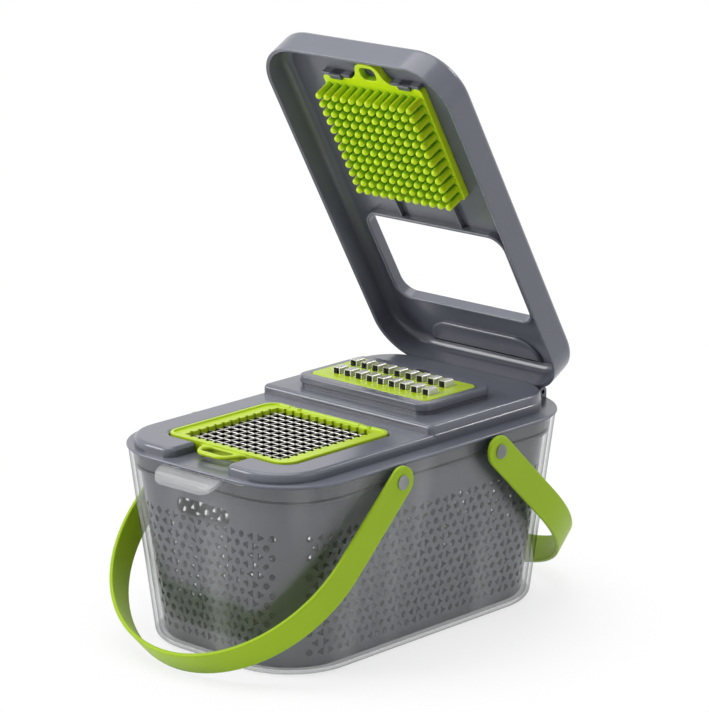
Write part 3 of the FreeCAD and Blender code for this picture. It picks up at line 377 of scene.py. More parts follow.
def finish_mesh(name, bm, material, body, nodes, sharp, lining=None):
    """Turn the mesh into an object with clean normals that rides on its body and stands for its nodes."""
    bmesh.ops.remove_doubles(bm, verts=bm.verts, dist=1e-7)
    bmesh.ops.recalc_face_normals(bm, faces=bm.faces)
    limit = math.radians(sharp)
    for face in bm.faces:
        face.smooth = True
    for edge in bm.edges:
        edge.smooth = edge.is_manifold and edge.calc_face_angle(0.0) < limit
    mesh = bpy.data.meshes.new(name)
    bm.to_mesh(mesh)
    bm.free()
    piece = bpy.data.objects.new(name, mesh)
    bpy.context.scene.collection.objects.link(piece)
    mesh.materials.append(finish(material))
    if lining:
        mesh.materials.append(finish(lining))
    normals = piece.modifiers.new("even_normals", "WEIGHTED_NORMAL")
    normals.keep_sharp = True
    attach(piece, body)
    if nodes:
        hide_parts(*nodes)
    return piece


# Materials

def new_material(name):
    material = bpy.data.materials.new(name)
    material.use_nodes = True
    tree = material.node_tree
    return material, tree, tree.nodes["Principled BSDF"]


def set_sockets(tree, node, sockets):
    """Give each socket its value, or join it to the output that is named for it."""
    for socket, value in sockets.items():
        if isinstance(value, bpy.types.NodeSocket):
            tree.links.new(value, node.inputs[socket])
        else:
            node.inputs[socket].default_value = value


def add_node(tree, kind, sockets, **settings):
    node = tree.nodes.new("ShaderNode" + kind)
    for setting, value in settings.items():
        setattr(node, setting, value)
    set_sockets(tree, node, sockets)
    return node


def show(tree, shader):
    tree.links.new(shader, tree.nodes["Material Output"].inputs["Surface"])


def own_place(tree):
    """Places in the piece's own axes."""
    return tree.nodes.new("ShaderNodeTexCoord").outputs["Object"]


def own_height(tree):
    return add_node(tree, "SeparateXYZ", {"Vector": own_place(tree)}).outputs["Z"]


def noise(tree, scale, detail=3.0, stretch=None):
    place = own_place(tree)
    if stretch:
        place = add_node(tree, "Mapping", {"Vector": place, "Scale": stretch}).outputs["Vector"]
    return add_node(tree, "TexNoise", {"Vector": place, "Scale": scale, "Detail": detail}).outputs["Fac"]


def remap(tree, value, start=0.0, end=1.0, low=0.0, high=1.0, blend="LINEAR"):
    """The value, taken from one range to another."""
    sockets = {"Value": value, "From Min": start, "From Max": end, "To Min": low, "To Max": high}
    return add_node(tree, "MapRange", sockets, interpolation_type=blend).outputs["Result"]


def calculate(tree, operation, first, second):
    return add_node(tree, "Math", {0: first, 1: second}, operation=operation).outputs["Value"]


def mix_shaders(tree, share, first, second):
    return add_node(tree, "MixShader", {"Fac": share, 1: first, 2: second}).outputs["Shader"]


def ramp(tree, value, first, second, start=0.0):
    """A colour that runs from the first to the second as the value rises past the start."""
    node = add_node(tree, "ValToRGB", {"Fac": value})
    low, high = node.color_ramp.elements
    low.position = start
    low.color, high.color = (*first, 1.0), (*second, 1.0)
    return node.outputs["Color"]


def shade_colour(tree, value, base, spread):
    """The base colour, a little darker or lighter with the value."""
    darker, lighter = ([min(1.0, c * factor) for c in base] for factor in (1 - spread, 1 + spread))
    return ramp(tree, value, darker, lighter)


def bump(tree, value, strength, distance):
    sockets = {"Height": value, "Strength": strength, "Distance": distance}
    return add_node(tree, "Bump", sockets).outputs["Normal"]


def hollow_shade_mask(tree, reach, low, high):
    """Painted shade mask: 0 in hollows that are deep for that reach, and 1 on open surfaces."""
    crevice = add_node(tree, "AmbientOcclusion", {"Distance": reach}, samples=8)
    return remap(tree, crevice.outputs["AO"], low, high)


def paint_shade(tree, amount, deep, surface):
    """The surface colour, turning into the deep colour of painted shade where the amount falls to 0."""
    sockets = {"Factor": amount, "A": (*deep, 1.0), "B": surface}
    return add_node(tree, "Mix", sockets, data_type="RGBA").outputs["Result"]


def moulded_plastic(name, base, deep, rough, grain=0.06, reach=0.007, low=0.06, high=0.40, shine=0.5):
    """Moulded plastic: faint flow marks in the colour and gloss, a fine grain, and painted shade, a deeper
    tone, in hollows.
    """
    material, tree, shader = new_material(name)
    flow, gloss = noise(tree, scale=22.0), noise(tree, scale=130.0)
    grit = noise(tree, scale=1500.0, detail=2.0)
    surface = shade_colour(tree, flow, base, spread=0.05)
    set_sockets(tree, shader, {
        "Specular IOR Level": shine,
        # Painted shade: the colour turns to the deep colour in hollows that ambient occlusion finds
        "Base Color": paint_shade(tree, hollow_shade_mask(tree, reach, low, high), deep, surface),
        "Roughness": remap(tree, gloss, low=rough - 0.05, high=rough + 0.06),
        "Normal": bump(tree, grit, grain, distance=0.00003),
    })
    return material


def brushed_steel(name, base):
    """Steel with fine brushed lines, and painted shade that turns it nearly black in deep hollows."""
    material, tree, shader = new_material(name)
    lines = noise(tree, scale=1.0, detail=4.0, stretch=(300.0, 300.0, 4000.0))
    surface = shade_colour(tree, lines, base, spread=0.10)
    unshaded_share = hollow_shade_mask(tree, reach=0.006, low=0.30, high=0.62)
    set_sockets(tree, shader, {
        "Metallic": 1.0,
        # Painted shade: nearly black where ambient occlusion finds deep hollows
        "Base Color": paint_shade(tree, unshaded_share, (0.006, 0.006, 0.006), surface),
        "Roughness": remap(tree, lines, low=0.22, high=0.40),
        "Normal": bump(tree, lines, strength=0.15, distance=0.00002),
    })
    return material


def blades_with_painted_shade(name, base):
    """Blade steel in its own colour along the ground upper edge, with painted shade that turns it dark down
    in the cells.
    """
    material = brushed_steel(name, base)
    tree = material.node_tree
    shaded_below, unshaded_above, cell_painted_shade = 1.4 * MM, 0.3 * MM, (0.012, 0.010, 0.009)
    top = node_box("dice_blades_lengthwise")[1].z
    # Painted shade: dark from just under the upper edge down into the cells
    edge = remap(tree, own_height(tree), top - shaded_below, top - unshaded_above)
    colour_with_cell_shade = ramp(tree, edge, cell_painted_shade, base)
    set_sockets(tree, tree.nodes["Principled BSDF"], {"Base Color": colour_with_cell_shade})
    return material


def clear_plastic(name, tint, clearest, haze_at_painted_sheen, foot):
    """See-through moulding: grey seen edge on, glossy, with faint upright streaks of painted sheen and a
    thick grey foot.
    """
    material, tree, shader = new_material(name)
    tree.nodes.remove(shader)
    facing = add_node(tree, "LayerWeight", {"Blend": 0.5}).outputs["Facing"]
    edge_grey, skin_grey = (0.34, 0.35, 0.36), (0.62, 0.63, 0.64)
    through = add_node(tree, "BsdfTransparent", {"Color": ramp(tree, facing, tint, edge_grey, start=0.70)})
    skin = add_node(tree, "BsdfDiffuse", {"Color": (*skin_grey, 1.0)})
    # Painted sheen: stretched noise paints upright whitish streaks that stand in for reflections
    columns = noise(tree, scale=1.0, detail=1.0, stretch=(34.0, 34.0, 1.6))
    painted_sheen = remap(tree, columns, start=0.50, end=0.74, low=clearest, high=haze_at_painted_sheen)
    base = remap(tree, own_height(tree), start=foot / 2, end=foot, low=0.5, high=0.0)
    haze_and_painted_sheen = calculate(tree, "MAXIMUM", painted_sheen, base)
    body = mix_shaders(tree, haze_and_painted_sheen, through.outputs["BSDF"], skin.outputs["BSDF"])
    waves = bump(tree, noise(tree, scale=35.0, detail=1.0), strength=0.06, distance=0.0004)
    gloss = add_node(tree, "BsdfGlossy", {"Roughness": 0.04, "Normal": waves})
    glance = remap(tree, calculate(tree, "POWER", facing, 4.0), low=0.04, high=0.35)
    show(tree, mix_shaders(tree, glance, body, gloss.outputs["BSDF"]))
    return material


# Each finish: its maker, its colours and its look
FINISHES = {
    # Each moulding's second colour is the painted shade in its hollows; the clear finishes carry painted
    # sheen
    "grey_moulding": (
        moulded_plastic, ("grey", "grey_painted_shade"), {"rough": 0.20, "reach": 0.020, "low": 0.15, "high": 0.85}
    ),
    "basket_grey": (moulded_plastic, ("grey", "grey_painted_shade"), {"rough": 0.20}),
    "basket_lining": (moulded_plastic, ("basket_inside_painted_shade", "basket_inside_painted_shade"), {"rough": 0.35}),
    "lime_moulding": (moulded_plastic, ("lime", "lime_painted_shade"), {"rough": 0.30, "shine": 0.35}),
    "press_lime": (
        moulded_plastic, ("press", "press_painted_shade"),
        {"rough": 0.30, "reach": 0.012, "low": 0.12, "high": 0.62, "shine": 0.3},
    ),
    "strap_lime": (moulded_plastic, ("strap", "lime_painted_shade"), {"rough": 0.42, "grain": 0.22, "shine": 0.25}),
    "blade_steel": (brushed_steel, ("steel",), {}),
    "ground_blade_steel": (blades_with_painted_shade, ("steel",), {}),
    "hinge_pin_copper": (brushed_steel, ("pin",), {}),
    "tub_clear": (clear_plastic, ("clear",), {"clearest": 0.03, "haze_at_painted_sheen": 0.18, "foot": 5.0 * MM}),
    "tab_clear": (clear_plastic, ("clear",), {"clearest": 0.30, "haze_at_painted_sheen": 0.44, "foot": 1.0 * MM}),
    "stud_clear": (clear_plastic, ("stud",), {"clearest": 0.35, "haze_at_painted_sheen": 0.70, "foot": 1.0 * MM}),
}


def finish(name):
    """The material of that finish, made when it is first asked for."""
    if name in bpy.data.materials:
        return bpy.data.materials[name]
    maker, shades, look = FINISHES[name]
    colours = bpy.context.scene.slicer_colours
    return maker(name, *(getattr(colours, shade) for shade in shades), **look)


# Shared heights, places and outlines

class Heights:
    """Levels of the stack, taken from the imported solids."""

    def __init__(self):
        deck = bpy.context.scene.slicer_deck
        self.rim = node_box("container")[1].z
        self.basket = node_box("colander_basket")[1].z
        self.skirt, self.pedestal = (corner.z for corner in node_box("top_deck"))
        self.flange = self.rim + deck.flange_thick
        self.deck = self.flange + deck.rise
        self.step = self.deck + deck.step
        self.dice_low = node_box("dice_frame")[0].z
        self.grater_low = node_box("grater_frame")[0].z


def tub_corners(tub, lean=0.0):
    """The tub's outline at its rim, or drawn in where the leaning walls stand further down."""
    return rectangle(tub.half_width - lean, lean - tub.half_length, tub.half_length - lean, tub.corner)


def pivot_height():
    """Height of the straps' pivots, in the middle of their studs."""
    low, high = node_box("front_handle_studs")
    return (low.z + high.z) / 2


def dice_centre():
    """Middle of the dicing grid along the length."""
    low, high = node_box("dice_blades_lengthwise")
    return (low.y + high.y) / 2


def dice_corners(deck):
    """Outline of the dicing insert without its pull ring: the grid is centred in it."""
    high = node_box("dice_frame")[1]
    return rectangle(high.x, 2 * dice_centre() - high.y, high.y, deck.dice_corner)


def grater_corners(deck):
    """Outline of the grating insert."""
    low, high = node_box("grater_frame")
    return rectangle(high.x, low.y, high.y, deck.grater_corner)


def row_places(count, pitch):
    """Evenly spaced places, with their middle at 0."""
    return [(k - (count - 1) / 2) * pitch for k in range(count)]


def shifted(corners, shift):
    """The same corners, moved along the first axis."""
    return [(x + shift, y, radius) for x, y, radius in corners]


def both_sides(start, width):
    """Starts of two stretches of that width, one on each side of the middle."""
    return start, -start - width


def lid_place(lid):
    """From the closed lid's own axes, about its hinge, to the open lid."""
    return Matrix.Translation((0, lid.hinge_y, lid.hinge_z)) @ Matrix.Rotation(-lid.open_angle, 4, "X")


def press_centre(lid):
    """Middle of the pins, from the hinge, with the lid closed."""
    return dice_centre() - lid.hinge_y


def inner_lug(lid):
    """Distance of the inner hinge lugs from the middle."""
    return lid.lug_outer - 2 * lid.lug_width - lid.knuckle_width - 2 * lid.knuckle_gap


# Clear tub

def tub_tab(bm, tub, rim):
    """Scooped pull tab with rounded corners at the front of the rim."""
    root = -tub.half_length + tub.wall / 2
    reach = root - node_box("container")[0].y
    drop, thick, rounding, scoop = 5.6 * MM, 2.2 * MM, 8.0 * MM, 1.7
    columns, rows = 24, 12
    edges = []
    for under in (0.0, thick):
        sheet = []
        for j in range(rows + 1):
            out = reach * j / rows
            short = max(0.0, out - (reach - rounding))
            half = tub.tab_half_width - rounding + math.sqrt(max(rounding ** 2 - short ** 2, 0.0))
            z = rim - thick / 4 - under - drop * (out / reach) ** scoop
            places = [(half * (2 * i / columns - 1), root - out, z) for i in range(columns + 1)]
            sheet.append([bm.verts.new(place) for place in places])
        for near, far in zip(sheet, sheet[1:]):
            for i in range(columns):
                bm.faces.new((near[i], near[i + 1], far[i + 1], far[i]))
        right = [row[-1] for row in sheet[1:]]
        left = [row[0] for row in sheet[-2:0:-1]]
        edges.append(sheet[0] + right + sheet[-1][-2::-1] + left)
    bridge(bm, *edges)


class SLICER_OT_tub(bpy.types.Operator):
    """Build the clear tub with its pull tab and bosses"""

    bl_idname = "slicer.tub"
    bl_label = "Clear Tub"

    def execute(self, context):
        tub = context.scene.slicer_tub
        rim = Heights().rim
        slope = math.tan(tub.draft)
        rim_round, edge_steps = 0.7 * MM, 6
        outer = soft_sides(0.0, rim, tub.base_round, rim_round, edge_steps)
        inner = soft_sides(tub.floor, rim, tub.base_round - tub.floor, rim_round, edge_steps)
        profile = outer + [(tub.wall - (inset if z > rim / 2 else -inset), z) for inset, z in inner[::-1]]
        bm = bmesh.new()
        solid(bm, [
            ring(tub_corners(tub, (rim - z) * slope), inset, z, LARGE_CORNER_STEPS) for inset, z in profile
        ])
        pivot, bevel = pivot_height(), 0.6 * MM
        boss = [
            (tub.boss_radius, tub.half_width - (rim - pivot) * slope - tub.wall / 2),
            (tub.boss_radius, tub.boss_face - bevel),
            (tub.boss_radius - bevel, tub.boss_face),
        ]
        for side in (-1, 1):
            for y in (-tub.pivot_spread, tub.pivot_spread):
                turned(bm, boss, (0, y, pivot), segments=40, direction=(side, 0, 0))
        finish_mesh("tub_shell", bm, "tub_clear", "base", ["container"], sharp=40)
        tab = bmesh.new()
        tub_tab(tab, tub, rim)
        finish_mesh("tub_pull_tab", tab, "tab_clear", "base", [], sharp=40)
        return {"FINISHED"}


# Colander basket

CELL_PARTS = 4
CELL_EDGE = [
    (0, 0), (0.25, 0), (0.5, 0), (0.75, 0), (1, 0), (1, 0.5),
    (1, 1), (0.75, 1), (0.5, 1), (0.25, 1), (0, 1), (0, 0.5),
]
ROUND_HOLE_TURNS = (225, 247, 270, 293, 315, 0, 45, 67, 90, 113, 135, 180)
POINTED_HOLE = [
    (-0.78, -0.98), (-0.56, -0.98), (0.0, -0.62), (0.55, -0.30), (0.92, -0.12), (1.0, 0.0),
    (0.92, 0.12), (0.55, 0.30), (0.0, 0.62), (-0.56, 0.98), (-0.78, 0.98), (-0.82, 0.0),
]
POINTED_HOLE_REVERSED = (4, 3, 2, 1, 0, 11, 10, 9, 8, 7, 6, 5)


def round_hole(radius):
    """Twelve points of a round hole, in step with the points round its cell."""
    turns = [math.radians(degrees) for degrees in ROUND_HOLE_TURNS]
    return [(radius * math.cos(turn), radius * math.sin(turn)) for turn in turns]


def pointed_hole(radius, direction):
    """Twelve points of a three-cornered hole with blunt corners that points along its row."""
    order = range(len(POINTED_HOLE)) if direction > 0 else POINTED_HOLE_REVERSED
    return [(direction * radius * POINTED_HOLE[k][0], radius * POINTED_HOLE[k][1]) for k in order]


class BasketWall:
    """The basket's outer wall, unrolled: places along the rim from the middle of the front, and heights."""

    def __init__(self, bm, tub, top):
        self.bm = bm
        self.top = top
        self.bottom = node_box("colander_basket")[0].z
        self.slope = math.tan(tub.draft)
        inset = tub.wall + tub.basket_gap + (Heights().rim - top) * self.slope
        self.half_width = tub.half_width - inset
        self.half_length = tub.half_length - inset
        self.corner = tub.corner - inset
        self.front = self.half_width - self.corner
        self.arc = self.corner * math.pi / 2
        self.side = 2 * (self.half_length - self.corner)
        self.round = 4 * self.front + 4 * self.arc + 2 * self.side
        self.columns = 4 * round(self.round / tub.hole_pitch / 4)
        self.pitch = self.round / self.columns
        self.found = {}
        self.places = {}

    def corner_distance(self, along):
        """Distance along the rim to the middle of the nearest corner."""
        first = self.front + self.arc / 2
        second = first + self.arc + self.side
        half = self.round / 2
        middles = (first, second, self.round - second, self.round - first)
        return min(abs((along - middle + half) % self.round - half) for middle in middles)

    def core(self, along):
        """The place a corner radius inside the rim, and the outward direction there."""
        along = along % self.round
        hand = 1
        if along > self.round / 2:
            along, hand = self.round - along, -1
        parts = []
        for part in (self.front, self.arc, self.side, self.arc, self.front):
            parts.append(min(max(along, 0.0), part))
            along -= part
        front, first_arc, side, second_arc, rear = parts
        turn = (first_arc + second_arc) / self.corner
        place = Vector((hand * (front - rear), side - self.side / 2))
        return place, Vector((hand * math.sin(turn), -math.cos(turn)))

    def at(self, along, z, inward=0.0):
        """A place on the wall: its corners keep their radius as the sides lean inwards."""
        place, out = self.core(along)
        lean = (self.top - z) * self.slope
        place.x *= 1 - lean / self.front
        place.y *= 1 - 2 * lean / self.side
        place += out * (self.corner - inward)
        return Vector((place.x, place.y, z))

    def own_vert(self, along, z, inward=0.0):
        """A new vertex at that place on the wall."""
        corner = self.bm.verts.new(self.at(along, z, inward))
        self.places[corner] = (along, z, inward)
        return corner

    def vert(self, along, z, inward=0.0):
        """The vertex at that place on the wall, shared by all the faces that meet there."""
        turns, per_mm = 64 * self.columns, 50
        turn = round((along % self.round) / self.round * turns) % turns
        key = (turn, round(z / MM * per_mm), round(inward / MM * per_mm))
        if key not in self.found:
            self.found[key] = self.own_vert(along, z, inward)
        return self.found[key]

    def row(self, z, inward=0.0, first=0, last=None):
        """Vertices along the wall at one height, a few to each column of holes."""
        last = CELL_PARTS * self.columns if last is None else last
        return [self.vert(self.pitch * k / CELL_PARTS, z, inward) for k in range(first, last)]


class SLICER_OT_basket(bpy.types.Operator):
    """Build the colander basket with its rows of holes and its hand slots"""

    bl_idname = "slicer.basket"
    bl_label = "Colander Basket"

    def execute(self, context):
        tub = context.scene.slicer_tub
        bm = bmesh.new()
        wall = BasketWall(bm, tub, Heights().basket)
        self.punch_rows(bm, tub, wall)
        self.close_floor(bm, tub, wall)
        self.close_band(bm, tub, wall)
        self.line_inside(bm, tub, wall)
        self.add_rim(bm, tub, wall)
        finish_mesh(
            "basket_shell", bm, "basket_grey", "base", ["colander_basket"], sharp=32,
            lining="basket_lining",
        )
        return {"FINISHED"}

    def punch_rows(self, bm, tub, wall):
        """Rows of pointed and round holes, with plain cells down the middle of each corner."""
        size, plain_turn = tub.row_pitch * 0.36, math.radians(14)
        point_size = size * 1.12
        holes = [pointed_hole(point_size, 1), round_hole(size), pointed_hole(point_size, -1)]
        for row in range(tub.hole_rows):
            low = tub.first_row + row * tub.row_pitch
            for column in range(wall.columns):
                left = (column + 0.5 * (row % 2)) * wall.pitch
                edge = [wall.vert(left + u * wall.pitch, low + v * tub.row_pitch) for u, v in CELL_EDGE]
                along, middle = left + wall.pitch / 2, low + tub.row_pitch / 2
                if wall.corner_distance(along) < plain_turn * wall.corner:
                    bm.faces.new(edge)
                    continue
                shape = holes[(column + row % 2) % 3]
                bridge(bm, edge, [wall.own_vert(along + x, middle + y) for x, y in shape])

    def close_floor(self, bm, tub, wall):
        """Bottom edge and floor."""
        bevel = 3.2 * MM
        levels = soft_sides(wall.bottom, tub.first_row, bevel, 0.0)
        bands = [wall.row(z, inset) for inset, z in levels]
        for lower, upper in zip(bands, bands[1:]):
            bridge(bm, lower, upper)
        bm.faces.new(bands[0])

    def close_band(self, bm, tub, wall):
        """Band above the holes, with a hand slot in the middle of the front and of the rear."""
        field_top = tub.first_row + tub.hole_rows * tub.row_pitch
        slot_columns = 4
        slot_half, slot_drop, slot_high = 22.0 * MM, 15.9 * MM, 5.6 * MM
        slot_round = slot_high * 0.96
        slot = outline(rectangle(slot_half, -slot_high, slot_high, slot_round))
        lower, upper = wall.row(field_top), wall.row(wall.top)
        for k in range(len(lower)):
            if (k // CELL_PARTS + slot_columns) % (wall.columns // 2) < 2 * slot_columns:
                continue
            n = (k + 1) % len(lower)
            bm.faces.new((lower[k], lower[n], upper[n], upper[k]))
        reach = CELL_PARTS * slot_columns
        for middle in (0, CELL_PARTS * wall.columns // 2):
            ends = middle - reach, middle + reach + 1
            surround = wall.row(field_top, 0.0, *ends) + wall.row(wall.top, 0.0, *ends)[::-1]
            along = wall.pitch * middle / CELL_PARTS
            fill(bm, surround, [wall.own_vert(along + p.x, wall.top - slot_drop + p.y) for p in slot])

    def line_inside(self, bm, tub, wall):
        """Inner skin in a dark lining of painted shade, joined to the outer one round the rim and every
        hole.
        """
        outer_faces = bm.faces[:]
        open_edges = [edge.verts[:] for edge in bm.edges if edge.is_boundary]
        floor_top = wall.bottom + 2.0 * MM
        inner = {
            corner: bm.verts.new(wall.at(along, max(z, floor_top), inward + tub.basket_wall))
            for corner, (along, z, inward) in wall.places.items()
        }
        for face in outer_faces:
            # The inner faces take the lining, which paints the shade inside the basket
            bm.faces.new([inner[corner] for corner in reversed(face.verts)]).material_index = 1
        for a, b in open_edges:
            bm.faces.new((a, b, inner[b], inner[a]))

    def add_rim(self, bm, tub, wall):
        """Rim that stands out round the top."""
        thick, soft = 1.8 * MM, 0.5 * MM
        low = wall.top - thick
        corners = rectangle(wall.half_width, -wall.half_length, wall.half_length, wall.corner)
        layers = [(inset - tub.basket_rim, z) for inset, z in soft_sides(low, wall.top, soft, soft, 3)]
        layers += [(tub.basket_wall, wall.top), (tub.basket_wall, low)]
        loft(bm, stack(corners, layers, LARGE_CORNER_STEPS), closed=True)


# Deck

def hinge_lugs(bm, lid, foot):
    """Four upright lugs that hold the hinge pins."""
    radius, soft = lid.lug_radius, 0.4 * MM
    lug = rectangle(radius, foot, lid.hinge_z + radius, 0, radius * FULL_ROUND)
    for start in (lid.lug_outer - lid.lug_width, inner_lug(lid)):
        for low in both_sides(start, lid.lug_width):
            slab(bm, shifted(lug, lid.hinge_y), low, low + lid.lug_width, soft, soft, across)


def seat_corners(deck, grater):
    """Seat of the grating insert with the finger notch in its rear edge."""
    fit, notch, soft = deck.insert_fit, deck.notch_radius, 0.6 * MM
    notch_deep, notch_round = notch * 0.9, notch * 0.85
    half, front, rear = grater[1][0] + fit, grater[0][1] - fit, grater[2][1] + fit
    corner = deck.grater_corner + fit
    right = [
        (half, front, corner), (half, rear, corner),
        (notch, rear, soft), (notch, rear + notch_deep, notch_round),
    ]
    return right + mirrored(right)


class SLICER_OT_deck(bpy.types.Operator):
    """Build the deck with its levels, pedestal, seats, skirt and hinge lugs"""

    bl_idname = "slicer.deck"
    bl_label = "Deck"

    def execute(self, context):
        deck, levels = context.scene.slicer_deck, Heights()
        bm = bmesh.new()
        step_front, throat_inset = -0.7 * MM, 3.4 * MM
        self.add_flange(bm, context.scene.slicer_tub, deck, levels)
        self.add_front_level(bm, deck, levels, step_front)
        self.add_rear_level(bm, deck, levels, step_front, throat_inset)
        self.add_pedestal(bm, deck, levels, throat_inset)
        hinge_lugs(bm, context.scene.slicer_lid, levels.rim)
        finish_mesh("deck_shell", bm, "grey_moulding", "base", ["top_deck"], sharp=38)
        return {"FINISHED"}

    def add_flange(self, bm, tub, deck, levels):
        """Flange and plug skirt in one section."""
        skirt_inner = deck.skirt_inset + deck.skirt_wall
        gap_top, top_round = levels.rim + deck.shadow_gap, 0.9 * MM
        edge = soft_sides(gap_top, levels.flange, TIGHT_CORNER, top_round)
        section = [(0.0, levels.rim), (0.0, gap_top)]
        section += [(inset - deck.flange_over, z) for inset, z in edge]
        section += [(deck.flange_width, levels.flange), (deck.flange_width, levels.rim)]
        section += [(skirt_inner, levels.rim), (skirt_inner, levels.skirt)]
        section += [(deck.skirt_inset, levels.skirt), (deck.skirt_inset, levels.rim)]
        loft(bm, stack(tub_corners(tub), section, LARGE_CORNER_STEPS), closed=True)

    def add_front_level(self, bm, deck, levels, step_front):
        """Front level, open at the thumb gap and round the dicing insert, and the insert's ledge."""
        well = dice_corners(deck)
        fit, gap = deck.insert_fit, deck.thumb_gap
        half, front, rear = well[1][0] + fit, well[0][1] - fit, well[2][1] + fit
        well_round, gap_round, gap_root, tuck = deck.dice_corner + fit, 6.0 * MM, 2.0 * MM, 4.0 * MM
        right = [
            (half, rear, well_round),
            (half, front, well_round),
            (gap, front, gap_root),
            (gap, -deck.front, gap_round),
            (deck.half_width, -deck.front, deck.front_corner),
            (deck.half_width, step_front + tuck, ROOT),
        ]
        slab(bm, right + mirrored(right), levels.rim, levels.deck, 0.0, deck.softness, steps=10)
        floor_reach, floor_soft, below_flange = 2.0 * MM, 0.4 * MM, 0.05 * MM
        gap_floor = rectangle(gap + ROOT, -deck.front - floor_reach, front + ROOT, ROOT)
        slab(bm, gap_floor, levels.rim, levels.flange - below_flange, 0.0, floor_soft)
        ledge, thick, reach = levels.dice_low, 2.0 * MM, 4.0 * MM
        section = [
            (-fit - thick, ledge - thick), (-fit - thick, levels.flange), (-fit, levels.flange),
            (-fit, ledge), (reach, ledge), (reach, ledge - thick),
        ]
        loft(bm, stack(well, section), closed=True)

    def add_rear_level(self, bm, deck, levels, step_front, throat_inset):
        """Rear level with the line where it stands on the front level, open under the grating insert."""
        front_round, line_deep, line_start, line_half = 4.0 * MM, 0.5 * MM, 0.6 * MM, 0.2 * MM
        corners = rectangle(deck.half_width, step_front, deck.rear, front_round, deck.rear_corner)
        upper = soft_sides(levels.deck + line_half, levels.step, 0.0, deck.softness)
        layers = [(0.0, levels.rim), (0.0, levels.deck - line_start), (line_deep, levels.deck - line_half)]
        layers += [(line_deep + inset, z) for inset, z in upper]
        throat = [(throat_inset, levels.rim), (throat_inset, levels.step)]
        pierced(bm, stack(corners, layers, steps=10), stack(grater_corners(deck), throat))

    def add_pedestal(self, bm, deck, levels, throat_inset):
        """Pedestal: foot, lip with the grater's seat, and the finger notch behind it."""
        corners = rectangle(
            deck.pedestal_half_width, deck.pedestal_front, deck.pedestal_rear, deck.pedestal_corner
        )
        grater, undercut = grater_corners(deck), deck.pedestal_undercut
        lip_round, top_round = 0.6 * MM, 1.1 * MM
        foot, lip_low = levels.step - ROOT, levels.pedestal - deck.pedestal_lip
        layers = [(undercut, foot), (undercut, lip_low)]
        layers += soft_sides(lip_low, levels.pedestal, lip_round, top_round)
        outer = loft(bm, stack(corners, layers))
        seat_layers = [(0.0, levels.pedestal), (0.0, levels.grater_low)]
        seat = loft(bm, stack(seat_corners(deck, grater), seat_layers))
        throat = loft(bm, stack(grater, [(throat_inset, levels.grater_low), (throat_inset, foot)]))
        fill(bm, outer[-1], seat[0])
        fill(bm, seat[1], throat[0])
        fill(bm, outer[0], throat[1])


# Dicing insert

